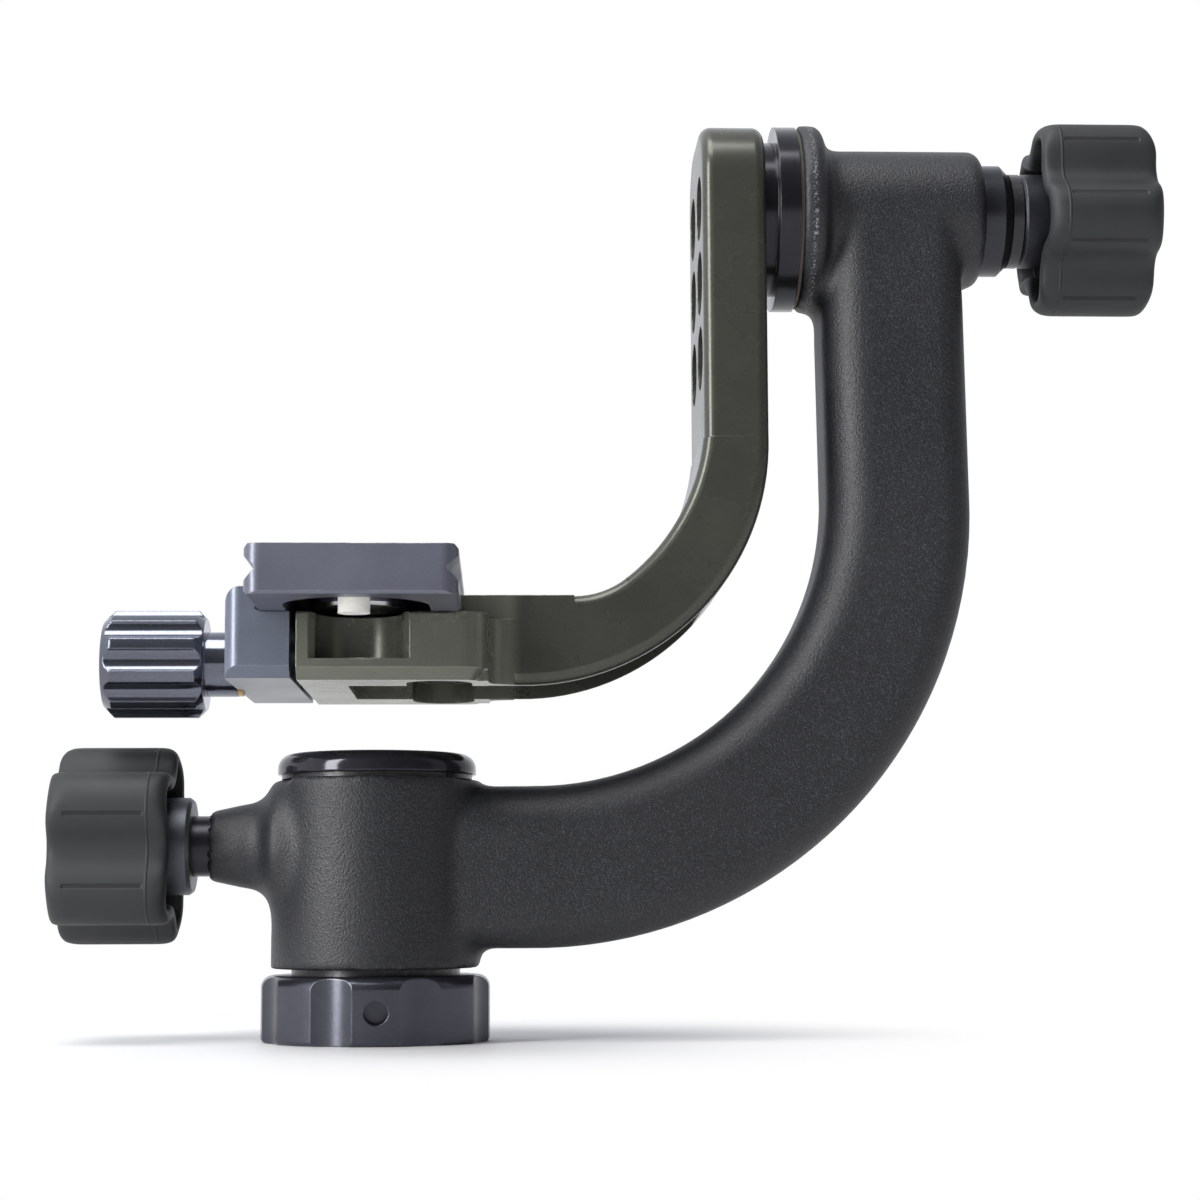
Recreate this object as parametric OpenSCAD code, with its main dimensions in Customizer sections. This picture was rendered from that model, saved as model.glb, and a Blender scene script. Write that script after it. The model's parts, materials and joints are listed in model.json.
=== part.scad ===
// Gimbal tripod head with a pan lock, a tilt lock and a dovetail clamp.
// Units are millimetres. +Z is up, the pan axis is Z, the tilt axis lies along X.
// The origin is the middle of the foot, where the tripod stud enters.

/* [Base] */
// Diameter of the scalloped base wheel
wheel_d = 44.5; // [42:0.5:60]
// Height of the base wheel
wheel_h = 12.9; // [11:0.1:20]
// Number of scallops round the wheel
scallops = 8; // [6:1:12]
// Radius of the cutter that makes a scallop
scallop_r = 10.6; // [6:0.5:16]
// Depth of a scallop
scallop_depth = 1.25; // [0.6:0.1:2]
// Edge radius round the top of the wheel
wheel_edge = 2.4; // [0.5:0.1:3]
// Edge radius round the foot of the wheel
foot_edge = 0.9; // [0.3:0.1:1.5]
// Angle that the wheel is turned to the right, degrees
wheel_turn = 2.8; // [0:0.1:22]
// Diameter of the tommy-bar holes in the wheel
tommy_d = 4.6; // [3:0.1:6]
// Height of the tommy-bar holes
tommy_z = 6.3; // [5.5:0.1:7.5]
// Wall diameter of the tripod thread
tripod_bore_d = 8; // [5:0.1:10]
// Depth of the tripod thread
tripod_bore_depth = 15; // [8:0.5:18]
// Diameter of the spigot that carries the wheel
spigot_d = 20; // [16:0.5:24]

/* [Pan housing] */
// Outer diameter of the pan housing
pan_housing_d = 40.8; // [40:0.5:50]
// Height of the pan housing
pan_housing_h = 36.6; // [34:0.1:44]
// Diameter of the pan post
post_d = 28; // [24:0.5:30]
// Wall of the pan bushes
pan_bush_t = 2.2; // [1.5:0.1:2.8]
// Length of each pan bush
pan_bush_l = 6.5; // [6:0.5:8]
// Thickness of the lower thrust washer
thrust_t = 1.15; // [1:0.1:2]
// Diameter of the lower thrust washer
thrust_d = 32.8; // [31:0.5:38]
// Thickness of the upper washer
upper_washer_t = 0.8; // [0.4:0.1:1]
// Diameter of the post cap
cap_d = 38.9; // [36:0.2:46]
// Thickness of the post cap
cap_t = 4.2; // [3.6:0.1:6]
// Edge radius of the post cap
cap_edge = 2.9; // [1:0.1:3]
// Diameter of the cap screw thread
cap_screw_d = 6; // [4:0.5:8]

/* [Main arm] */
// Radius of the inner side of the bend
bend_inner_r = 57.8; // [50:0.1:60]
// Radius of the outer side of the bend
bend_outer_r = 86; // [84:0.1:88]
// Height of the centre of the inner curve above that of the outer curve
bend_rise = 3.2; // [0:0.1:4]
// Width of the arm across the bend
arm_w = 27.9; // [26:0.1:31]
// Distance from the pan axis to the centre of the bend
bend_x = 31; // [29:0.1:34]
// Height of the centre of the outer curve
bend_z = 103.9; // [102:0.1:106]
// Edge radius on the inner side of the arm
arm_inner_edge = 8.7; // [5:0.5:11]
// Edge radius on the outer side of the arm
arm_outer_edge = 5.8; // [3:0.5:8]
// Lean of the upright towards the pan axis, degrees
upright_lean = 0.8; // [0:0.1:2]

/* [Pan lock] */
// Height of the pan lock axis
pan_lock_z = 37.85; // [35:0.1:38]
// Distance from the pan axis to the mouth of the neck
neck_l = 32.7; // [32:0.1:38]
// Diameter of the neck at its mouth
neck_tip_d = 13.7; // [13:0.1:16]
// Diameter of the neck where it leaves the housing
neck_root_d = 16.6; // [16:0.1:20]
// Radius of the flare between the neck and the housing
neck_flare = 4.9; // [3:0.1:6]
// Diameter of the pan lock stud
pan_stud_d = 11.8; // [8:0.5:12]
// Length of the brake shoe
shoe_l = 5; // [4:0.1:6]

/* [Tilt housing] */
// Height of the tilt axis
tilt_z = 164.4; // [163:0.1:166]
// Diameter of the tilt housing
tilt_housing_d = 27.9; // [27:0.1:32]
// Distance from the pan axis to the face of the flange
flange_x = 84; // [83.5:0.1:86]
// Thickness of the cast flange
flange_t = 5.1; // [4:0.1:6]
// Edge radius at the back of the flange
flange_edge = 2.4; // [1:0.1:2.6]
// Diameter of the cast flange
flange_d = 37.8; // [36:0.1:42]
// Length of the tilt housing with its flange
tilt_housing_l = 37.2; // [37:0.1:42]
// Edge radius at the outer end of the tilt housing
barrel_edge = 2.6; // [0.5:0.1:4]
// Diameter of the tilt shaft
shaft_d = 16; // [14:0.5:18]
// Wall of the tilt bushes
tilt_bush_t = 2.5; // [1.5:0.1:3]
// Length of each tilt bush
tilt_bush_l = 12; // [8:0.5:14]
// Thickness of the washer behind the shaft flange
tilt_washer_t = 0.6; // [0.6:0.1:1.5]
// Thickness of the flange of the tilt shaft
shaft_flange_t = 4.2; // [4:0.1:6]
// Diameter of the flange of the tilt shaft
shaft_flange_d = 37.2; // [34:0.1:42]
// Thickness of the pad between the shaft flange and the swing arm
pad_t = 2.7; // [1:0.1:4]
// Diameter of that pad
pad_d = 31; // [28:0.1:34]
// Diameter of the collar at the outer end
collar_d = 22.4; // [22:0.1:26]
// Length of the collar outside the housing
collar_l = 5.9; // [4:0.1:8]
// Diameter of the threaded end of the shaft
shaft_thread_d = 10; // [8:0.5:12]
// Thickness of the lock washer behind the knob
lock_washer_t = 2.1; // [1:0.1:2.5]

/* [Lock knobs] */
// Diameter over the lobes
knob_d = 39.4; // [38:0.2:44]
// Length of the grip
knob_l = 23.3; // [20:0.1:26]
// Number of lobes
lobes = 5; // [4:1:7]
// Radius of a lobe
lobe_r = 7.05; // [5.5:0.1:7.5]
// Wall of the hollow grip
knob_wall = 3; // [2:0.1:4]
// Edge radius of the lobes
knob_edge = 3.5; // [1:0.1:4]
// Diameter of the hub
hub_d = 19; // [17:0.1:20]
// How far the hub stands out of the grip
hub_out = 3.05; // [1:0.1:5]
// Angle that the left grip is turned at rest, degrees
pan_knob_turn = -3.3; // [-36:0.1:36]
// Angle that the right grip is turned at rest, degrees
tilt_knob_turn = 11.2; // [-36:0.1:36]
// Radius of the hollow between two lobes
valley_r = 4.9; // [3:0.1:8]
// Width of the grip lines along the lobes
grip_line_w = 0.6; // [0.4:0.1:1]
// Angle from the middle of a lobe to its grip lines
grip_line_a = 14.5; // [8:0.5:20]

/* [Swing arm] */
// Width of the swing arm
swing_w = 36.8; // [34:0.5:42]
// Thickness of the upright plate
swing_t = 12.6; // [11:0.1:14]
// Height of the plate above the tilt axis
swing_top = 16.7; // [12.5:0.1:20]
// Outer radius of the bend
swing_outer_r = 47.7; // [44:0.1:50]
// Inner radius of the upper part of the bend
swing_inner_r = 40; // [36:0.5:44]
// Inner radius of the lower part of the bend
swing_heel_r = 16.4; // [10:0.5:18]
// Edge radius along the arm
swing_edge = 2.2; // [0.8:0.1:2.6]
// Radius of the two upper corners
swing_corner = 12; // [6:0.5:14]
// Diameter of the six holes
swing_hole_d = 12.9; // [12:0.1:14]
// Pitch of the holes across the plate
hole_pitch_y = 16; // [15:0.1:18]
// Pitch of the holes along the plate
hole_pitch_z = 15.25; // [14:0.1:17]
// Depth of the holes
swing_hole_depth = 7.4; // [6.5:0.1:8]
// Diameter of the arm screws
arm_screw_d = 6; // [4:0.5:6]
// Wall beside the channel under the arm
channel_wall = 2.6; // [2:0.5:5]
// Depth of the channel
channel_depth = 8; // [4:0.5:9]

/* [Clamp] */
// Width over the lips of the dovetail
dovetail_w = 38; // [37:0.1:39]
// Distance from the pan axis to the middle of the clamp
clamp_x = -2.1; // [-4:0.1:0]
// Length of the clamp jaws
clamp_l = 63.5; // [56:1:68]
// Height of the underside of the clamp
clamp_z = 68; // [66:0.1:68]
// Height of the seat above that underside
seat_h = 12.6; // [12:0.1:14]
// Height of the lips above the seat
lip_h = 4.7; // [4.6:0.05:5.2]
// Height of the straight part of the lips
lip_straight = 2.4; // [2:0.1:3]
// Depth of the dovetail groove
groove_depth = 2; // [1.6:0.1:2.2]
// Thickness of the movable jaw
jaw_t = 12.2; // [11:0.1:15]
// Gap between the jaw and the block
jaw_gap = 1.2; // [0.5:0.1:1.5]
// Radius of the corners of the jaw
jaw_edge = 3; // [1.5:0.1:4]
// Bevel under the clamp
clamp_bevel = 2.2; // [1:0.1:3]
// Width of the round notch in the end of the block
notch_d = 16.4; // [12:0.1:18]
// Diameter of the clamp screw
clamp_screw_d = 6; // [5:0.5:8]
// Height of the clamp screw above the underside of the clamp
clamp_screw_h = 5.6; // [5:0.1:6.5]
// Diameter of the clamp knob
clamp_knob_d = 21.2; // [18:0.1:24]
// Length of the clamp knob
clamp_knob_l = 19.9; // [16:0.1:26]
// Number of flutes
flutes = 10; // [8:1:14]
// Distance from the clamp knob to the jaw
clamp_knob_gap = 6.5; // [4:0.1:8]
// Bevel at the inner end of the clamp knob
clamp_knob_bevel = 1.5; // [0.5:0.1:3]
// Diameter of the guide pins
pin_d = 4; // [3:0.5:5]
// Distance between the guide pins
pin_span = 26; // [22:1:32]

/* [Plate] */
// Length of the plate
plate_l = 70; // [60:1:80]
// Thickness of the plate
plate_t = 9; // [8.5:0.1:11]
// How far the plate stands out at the front
plate_front = 58.5; // [35:0.5:60]
// Corner radius of the plate
plate_corner = 3; // [1:0.5:5]
// Bevel under the two ends of the plate
plate_bevel = 0.5; // [0.3:0.1:1.5]
// Width of the recess under the plate
recess_w = 26.8; // [20:0.1:28]
// Depth of the recess
recess_depth = 4.2; // [3:0.1:5]
// Diameter of the camera screw
camera_screw_d = 6.35; // [6.35:3.175:9.525]
// How far the camera screw stands out of the plate
camera_screw_out = 4.5; // [4:0.1:6]
// Length of the camera slot between the centres of its ends
slot_l = 18; // [12:1:22]
// Distance from the middle of the plate to each rubber strip
strip_out = 21; // [18:0.5:24]
// Width of the rubber strips
strip_w = 10; // [8:0.5:12]
// Thickness of the rubber strips
strip_t = 1.1; // [1:0.1:1.4]
// How deep the rubber strips are set in
strip_seat = 0.8; // [0.5:0.1:0.9]
// Distance from the ends of the strips to the sides of the plate
strip_inset = 1; // [0.5:0.1:2]
// Distance from the front of the plate to the stop screw
stop_in = 11.5; // [10:0.5:14]
// Diameter of the stop screw under the plate
stop_screw_d = 5.8; // [4:0.1:7]
// How far the stop screw hangs below the plate
stop_screw_out = 2.2; // [1:0.1:3]

/* [Hidden] */
$fn = 96;
run = 0.05;          // radial or axial running clearance
slide = 0.05;        // clearance of a sliding face
eps = 0.01;          // overlap of cutters

// base and pan housing
pan_floor = wheel_h + thrust_t + run;
pan_roof = pan_floor + pan_housing_h;
post_top = pan_roof + run + upper_washer_t;
pan_bore_r = post_d / 2 + pan_bush_t;
cap_dish = 0.4;
wheel_r = wheel_d / 2;
flute_reach = wheel_r - scallop_depth + scallop_r;
tommy_depth = 5;

// main arm
foot_low = bend_z - bend_outer_r;
foot_high = bend_z + bend_rise - bend_inner_r;
shy = 0.02;          // how far the straight parts of a bend lie inside its curves
housing_r = pan_housing_d / 2;

// pan lock
shoe_face = post_d / 2 + run;
stud_tip = shoe_face + shoe_l + run;
pan_hub_x = neck_l + 3;
pan_knob_x = pan_hub_x + hub_out;

// tilt housing
tilt_bore_r = shaft_d / 2 + tilt_bush_t;
tilt_end_x = flange_x + tilt_housing_l;
shaft_back_x = flange_x - tilt_washer_t - run;
swing_out_x = shaft_back_x - shaft_flange_t - pad_t;
collar_end_x = tilt_end_x + collar_l;
collar_spigot = 6;
collar_bevel = 1.9;
lock_washer_x = collar_end_x + run;
tilt_hub_x = lock_washer_x + lock_washer_t + run;
tilt_knob_x = tilt_hub_x + hub_out;
shaft_step_x = collar_end_x - 1;
shaft_end_x = tilt_knob_x + knob_l - 9;

// lock knobs
lobe_c = knob_d / 2 - lobe_r;
valley_c = lobe_c * cos(180 / lobes)
  + sqrt(pow(lobe_r + valley_r, 2) - pow(lobe_c * sin(180 / lobes), 2));
hub_wall = 6;

// swing arm
swing_in_x = swing_out_x - swing_t;
swing_bend_x = swing_out_x - swing_outer_r;
swing_floor = clamp_z;
swing_bend_z = swing_floor + swing_outer_r;
jaw_top = clamp_z + seat_h + lip_h;
inner_bend_x = swing_in_x - swing_inner_r;
inner_drop = swing_inner_r - swing_heel_r;
heel_z = jaw_top + swing_heel_r;
inner_bend_z = jaw_top + 35;
heel_x = inner_bend_x + sqrt(pow(inner_drop, 2) - pow(inner_bend_z - heel_z, 2));
arm_screw_l = swing_t - swing_hole_depth + pad_t + shaft_flange_t - 1;

// clamp
clamp_r = dovetail_w / 2;
block_gap = 7.4;     // from the jaw's lip to the block
block_wall = 5.1;    // from the fixed lip to the end of the block
seat_bevel = 0.4;
seat_z = clamp_z + seat_h;
lip_x = clamp_r + slide;
flank_z = seat_z + lip_straight + 3 * slide;
block_x = clamp_x - lip_x + block_gap;
jaw_in_x = block_x - jaw_gap;
jaw_out_x = jaw_in_x - jaw_t;
block_end = clamp_x + clamp_r + block_wall;
screw_z = clamp_z + clamp_screw_h;
knob_in_x = jaw_out_x - clamp_knob_gap;
knob_r = clamp_knob_d / 2;
end_bevel = 2;
flute_r = 2.8;
flute_cut = 1.3;
knob_bore = 14;
hub_r = 6.4;
jaw_spot = 0.7;
clamp_washer_t = 0.9;
pin_z = screw_z + 1;
pin_in_jaw = 9;
pin_in_block = 10;
screw_in_block = 7.5;
notch_r = notch_d / 2;
notch_depth = 11.5;
notch_floor = clamp_z + 3.85;
slot_x = clamp_x - 2.9;
slot_depth = 3.8;
pocket_x = clamp_x + 14.7;
pocket_r = 6.3;
pocket_half = 20.9;
pocket_depth = 4.2;
under_w = swing_w - 2 * channel_wall;

// plate
plate_z = seat_z + slide;
plate_y = -plate_front + plate_l / 2;
plate_top = plate_z + plate_t;
screw_head_r = 8.5;
recess_end = 5.1;
stop_y = -plate_front + stop_in;

// ---------------------------------------------------------------- helpers

// Turn a shape so that its +Z points along +X, starting at x on an axis of height z.
module along_x(x, z, y = 0) translate([x, y, z]) rotate([0, 90, 0]) children();

// Solid cylinder along X.
module rod_x(x, l, r, z, y = 0) along_x(x, z, y) cylinder(h = l, r = r);

// Tube along X.
module tube_x(x, l, r_out, r_in, z) difference() {
  rod_x(x, l, r_out, z);
  rod_x(x - eps, l + 2 * eps, r_in, z);
}

// Tube along Z.
module tube_z(z, h, r_out, r_in) translate([0, 0, z]) difference() {
  cylinder(h = h, r = r_out);
  translate([0, 0, -eps]) cylinder(h = h + 2 * eps, r = r_in);
}

// Rectangle from x0 to x1, centred in y, with corner radius r0 at x0 and r1 at x1.
module soft_rect(x0, x1, w, r0, r1) {
  translate([x0 + r0, -w / 2]) square([x1 - x0 - r0 - r1, w]);
  translate([x0, -w / 2 + r0]) square([r0 + eps, w - 2 * r0]);
  translate([x1 - r1 - eps, -w / 2 + r1]) square([r1 + eps, w - 2 * r1]);
  for (s = [-1, 1]) {
    translate([x0 + r0, s * (w / 2 - r0)]) circle(r = r0);
    translate([x1 - r1, s * (w / 2 - r1)]) circle(r = r1);
  }
}

// Draw an x-z outline as a slab of width w, centred in y.
module slab(w) translate([0, w / 2, 0]) rotate([90, 0, 0]) linear_extrude(w) children();

// ---------------------------------------------------------------- base

// Half outline of a turned disc with an edge radius of low at its foot and high at its top.
module turned_disc(r, h, low, high) {
  square([r - high, h]);
  translate([0, low]) square([r, h - low - high]);
  square([r - low, low + eps]);
  translate([r - low, low]) circle(r = low);
  translate([r - high, h - high]) intersection() {
    circle(r = high);
    square(high + eps);
  }
}

module base_wheel() color("#2e2f36") rotate([0, 0, wheel_turn]) difference() {
  rotate_extrude() turned_disc(wheel_r, wheel_h, foot_edge, wheel_edge);
  for (i = [0:scallops - 1]) rotate([0, 0, (i + 0.5) * 360 / scallops - 90])
    translate([flute_reach, 0, -eps]) cylinder(h = wheel_h + 2 * eps, r = scallop_r);
  for (a = [-90, 90]) rotate([0, 0, a])
    rod_x(wheel_r - tommy_depth, tommy_depth + 1, tommy_d / 2, tommy_z);
  translate([0, 0, -eps]) cylinder(h = wheel_h + 2 * eps, r = spigot_d / 2);
}

module pan_spindle() color("silver") difference() {
  union() {
    cylinder(h = wheel_h, r = spigot_d / 2);
    translate([0, 0, wheel_h]) cylinder(h = post_top - wheel_h, r = post_d / 2);
  }
  translate([0, 0, -eps]) cylinder(h = tripod_bore_depth + eps, r = tripod_bore_d / 2);
  translate([0, 0, post_top - 14]) cylinder(h = 14 + eps, r = cap_screw_d / 2);
}

module pan_thrust_washer() color("#15151a")
  tube_z(wheel_h, thrust_t, thrust_d / 2, post_d / 2);

module upper_pan_washer() color("#15151a")
  tube_z(pan_roof + run, upper_washer_t, cap_d / 2 - 0.8, post_d / 2);

module spindle_cap() color("#0d0d10") difference() {
  rotate_extrude() turned_disc(cap_d / 2, cap_t, 0.4, cap_edge);
  translate([0, 0, cap_t - cap_dish]) cylinder(h = 1, r = cap_d / 2 - cap_edge - 3);
  translate([0, 0, -eps]) cylinder(h = cap_t + 1, r = cap_screw_d / 2 + 0.2);
  translate([0, 0, cap_t - cap_dish - cap_screw_d / 2])
    cylinder(h = cap_screw_d / 2 + eps, r1 = cap_screw_d / 2, r2 = cap_screw_d);
}

module place_cap() translate([0, 0, post_top]) children();

// Countersunk screw with a hexagon socket, flush with the dish of the cap.
module cap_screw() color("#3a3a40") difference() {
  union() {
    translate([0, 0, -12]) cylinder(h = 12 + cap_t - 2, r = cap_screw_d / 2 - run);
    translate([0, 0, cap_t - cap_dish - cap_screw_d / 2])
      cylinder(h = cap_screw_d / 2 - 0.1, r1 = cap_screw_d / 2 - 0.1, r2 = cap_screw_d - 0.2);
  }
  translate([0, 0, cap_t - 3]) cylinder(h = 3, r = cap_screw_d / 3, $fn = 6);
}

// ---------------------------------------------------------------- main arm

// What is cut away inside a bend of radius r: a disc whose rim flares out over the edge radius e.
module bend_inside(r, w, e) rotate([90, 0, 0]) rotate_extrude($fn = 160) difference() {
  translate([0, -w / 2 - 1]) square([r + e, w + 2]);
  translate([r, -w / 2 + e]) square([e + 1, w - 2 * e]);
  for (s = [-1, 1]) translate([r + e, s * (w / 2 - e)]) circle(r = e);
}

// Sector of a disc from angle a0 to a1 in the x-z plane, with a rounded rim.
module bend_outside(r, w, e, a0, a1) rotate([90, 0, 0]) rotate([0, 0, a0])
  rotate_extrude(angle = a1 - a0, $fn = 160) soft_rect(20, r, w, 1, e);

// The bend with its foot towards the pan housing and its upright towards the tilt housing.
module arm_bend() {
  difference() {
    translate([bend_x, 0, bend_z])
      bend_outside(bend_outer_r, arm_w, arm_outer_edge, -91, upright_lean + 1);
    translate([bend_x, 0, bend_z + bend_rise])
      bend_inside(bend_inner_r, arm_w + 2 * shy, arm_inner_edge);
  }
  translate([bend_x, 0, bend_z]) rotate([0, -upright_lean, 0]) linear_extrude(tilt_z - bend_z)
    soft_rect(bend_inner_r + shy, bend_outer_r - shy, arm_w - 2 * shy, arm_inner_edge,
      arm_outer_edge);
  translate([bend_x, 0, 0]) rotate([0, -90, 0]) linear_extrude(bend_x)
    soft_rect(foot_low + shy, foot_high - shy, arm_w - 2 * shy, arm_outer_edge, arm_inner_edge);
}

// Neck of the pan lock, a taper that flares into the housing; z runs outwards from the pan axis.
module neck() rotate_extrude() difference() {
  polygon([[0, 10], [neck_root_d / 2 + neck_flare + 1.4, 12],
    [neck_root_d / 2 + neck_flare, housing_r], [neck_root_d / 2, housing_r + neck_flare],
    [neck_tip_d / 2, neck_l - 0.8], [neck_tip_d / 2 - 0.8, neck_l], [0, neck_l]]);
  translate([neck_root_d / 2 + neck_flare, housing_r + neck_flare]) circle(r = neck_flare);
}

// Barrel of the tilt housing with a softened end; z runs outwards from the flange.
module tilt_barrel() rotate_extrude() {
  r = tilt_housing_d / 2;
  square([r, tilt_housing_l - barrel_edge]);
  square([r - barrel_edge, tilt_housing_l]);
  translate([r - barrel_edge, tilt_housing_l - barrel_edge]) circle(r = barrel_edge);
}

module main_arm() color("#35373b") difference() {
  union() {
    arm_bend();
    translate([0, 0, pan_floor]) cylinder(h = pan_housing_h, r = pan_housing_d / 2);
    face_left(0) neck();
    along_x(flange_x, tilt_z) tilt_barrel();
    along_x(flange_x, tilt_z) rotate_extrude()
      turned_disc(flange_d / 2, flange_t, 0.3, flange_edge);
  }
  translate([0, 0, -1]) cylinder(h = pan_roof + 2, r = pan_bore_r);
  translate([0, 0, pan_roof]) cylinder(h = 8, r = pan_housing_d);
  rod_x(-neck_l - 1, neck_l - 8, pan_stud_d / 2 + run, pan_lock_z);
  rod_x(flange_x - 1, tilt_housing_l + 2, tilt_bore_r, tilt_z);
  rod_x(flange_x - 20, 20, flange_d, tilt_z);
}

module pan_bush_lower() color("#b08d57") tube_z(pan_floor, pan_bush_l, pan_bore_r, post_d / 2 + run);

module pan_bush_upper() color("#b08d57")
  tube_z(pan_roof - pan_bush_l, pan_bush_l, pan_bore_r, post_d / 2 + run);

module tilt_bush_inner() color("#b08d57")
  tube_x(flange_x, tilt_bush_l, tilt_bore_r, shaft_d / 2 + run, tilt_z);

module tilt_bush_outer() color("#b08d57")
  tube_x(tilt_end_x - collar_spigot - tilt_bush_l, tilt_bush_l, tilt_bore_r, shaft_d / 2 + run,
    tilt_z);

module tilt_collar() color("#26262b") difference() {
  union() {
    rod_x(tilt_end_x - collar_spigot, collar_spigot + 1, tilt_bore_r, tilt_z);
    rod_x(tilt_end_x, collar_l - collar_bevel, collar_d / 2, tilt_z);
    along_x(collar_end_x - collar_bevel, tilt_z)
      cylinder(h = collar_bevel, r1 = collar_d / 2, r2 = collar_d / 2 - collar_bevel);
  }
  rod_x(flange_x, tilt_housing_l + 20, shaft_d / 2 + run, tilt_z);
}

module tilt_thrust_washer() color("#4b463c")
  tube_x(flange_x - tilt_washer_t, tilt_washer_t, shaft_flange_d / 2 - 0.6,
    shaft_d / 2 + run, tilt_z);

// ---------------------------------------------------------------- lock knobs

// Lobed outline of a grip: lobes on a circle, joined by a core with hollow valleys.
module lobed_outline(inset = 0) {
  difference() {
    polygon([for (i = [0:2 * lobes - 1]) let (a = i * 180 / lobes, c = i % 2 == 0 ? lobe_c : valley_c)
      [c * cos(a), c * sin(a)]]);
    for (i = [0:lobes - 1]) rotate((i + 0.5) * 360 / lobes)
      translate([valley_c, 0]) circle(r = valley_r + inset);
  }
  for (i = [0:lobes - 1]) rotate(i * 360 / lobes)
    translate([lobe_c, 0]) circle(r = lobe_r - inset);
}

// Grip with its open side at z = 0 and its closed end at z = knob_l.
module grip() difference() {
  intersection() {
    linear_extrude(knob_l) lobed_outline();
    rotate_extrude() difference() {
      union() {
        translate([0, knob_edge]) square([knob_d / 2 + eps, knob_l - 2 * knob_edge]);
        square([knob_d / 2 - knob_edge, knob_l]);
        for (h = [knob_edge, knob_l - knob_edge])
          translate([knob_d / 2 - knob_edge, h]) circle(r = knob_edge);
      }
      translate([-knob_d, 0]) square([knob_d, knob_l]);
    }
  }
  difference() {
    translate([0, 0, -eps]) linear_extrude(knob_l - knob_wall) lobed_outline(knob_wall);
    translate([0, 0, knob_l - hub_wall]) cylinder(h = hub_wall, r = hub_d / 2 + 1);
  }
  translate([0, 0, -eps]) cylinder(h = knob_l - knob_wall, r = hub_d / 2 + run);
  for (i = [0:lobes - 1], s = [-1, 1]) rotate([0, 0, i * 360 / lobes + s * grip_line_a])
    translate([knob_d / 2 - 1.0, -grip_line_w / 2, 3.6])
      cube([2, grip_line_w, knob_l - 6.6]);
}

// Turned hub of a lock knob, drawn with its inner face at z = 0.
module hub(l, bore) difference() {
  union() {
    cylinder(h = 0.8, r1 = hub_d / 2 - 0.6, r2 = hub_d / 2);
    translate([0, 0, 0.8]) cylinder(h = l - 0.8, r = hub_d / 2);
  }
  translate([0, 0, -eps]) cylinder(h = l - 3, r = bore);
}

module face_left(x) translate([-x, 0, pan_lock_z]) rotate([0, -90, 0]) children();

module pan_brake_shoe() color("#b08d57") difference() {
  rod_x(-shoe_face - shoe_l, shoe_l + 2, pan_stud_d / 2, pan_lock_z);
  cylinder(h = pan_roof, r = shoe_face);
}

module pan_lock_stud() color("#26262b")
  rod_x(-pan_hub_x - knob_l + 6, pan_hub_x + knob_l - 6 - stud_tip, pan_stud_d / 2, pan_lock_z);

module pan_lock_hub() color("#2c2c31")
  face_left(pan_hub_x) hub(hub_out + knob_l - knob_wall, pan_stud_d / 2);

module pan_lock_grip() color("#3b3d3f")
  face_left(pan_knob_x) rotate([0, 0, 90 / lobes + pan_knob_turn]) grip();

module tilt_lock_washer() color("#101013")
  tube_x(lock_washer_x, lock_washer_t, hub_d / 2, shaft_thread_d / 2 + 0.1, tilt_z);

module tilt_lock_hub() color("#2c2c31")
  along_x(tilt_hub_x, tilt_z) hub(hub_out + knob_l - knob_wall, shaft_thread_d / 2 + run);

module tilt_lock_grip() color("#3b3d3f")
  along_x(tilt_knob_x, tilt_z) rotate([0, 0, -90 + tilt_knob_turn]) grip();

// ---------------------------------------------------------------- swing arm

// The opening inside the bend, as an x-z outline.
module swing_inner_outline() {
  tangent = atan2(heel_z - inner_bend_z, heel_x - inner_bend_x);
  difference() {
    union() {
      translate([clamp_x - 80, jaw_top])
        square([80 - clamp_x + heel_x, tilt_z]);
      translate([clamp_x, inner_bend_z]) square([swing_in_x - clamp_x, tilt_z]);
      intersection() {
        translate([inner_bend_x, inner_bend_z]) circle(r = swing_inner_r);
        translate([inner_bend_x, jaw_top]) square([swing_inner_r, 60]);
      }
    }
    polygon([[heel_x, heel_z], [heel_x, jaw_top - 1], [heel_x + swing_heel_r + 4, jaw_top - 1],
      [heel_x + (swing_heel_r + 3) * cos(tangent), heel_z + (swing_heel_r + 3) * sin(tangent)]]);
  }
  translate([heel_x, heel_z]) circle(r = swing_heel_r);
}

// Outer body of the arm: plate, bend and foot with rounded outer edges.
module swing_body() {
  top = tilt_z + swing_top;
  side = swing_w / 2 - swing_corner;
  translate([0, 0, swing_bend_z]) linear_extrude(top - swing_corner - swing_bend_z)
    soft_rect(swing_in_x, swing_out_x - shy, swing_w - 2 * shy, swing_edge, swing_edge);
  translate([(swing_in_x + swing_out_x - shy) / 2, -side, 0]) rotate([-90, -90, 0])
    linear_extrude(2 * side)
      soft_rect(top - 2 * swing_corner, top - shy, swing_t - shy, swing_edge, swing_edge);
  for (y = [-side, side]) along_x(swing_in_x, top - swing_corner, y)
    rotate_extrude() turned_disc(swing_corner, swing_t, swing_edge, swing_edge);
  translate([swing_bend_x, 0, swing_bend_z])
    bend_outside(swing_outer_r, swing_w, swing_edge, -91, 1);
  translate([swing_bend_x, 0, 0]) rotate([0, -90, 0]) linear_extrude(swing_bend_x - clamp_x)
    soft_rect(swing_floor + shy, swing_bend_z, swing_w - 2 * shy, swing_edge, 1);
}

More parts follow.
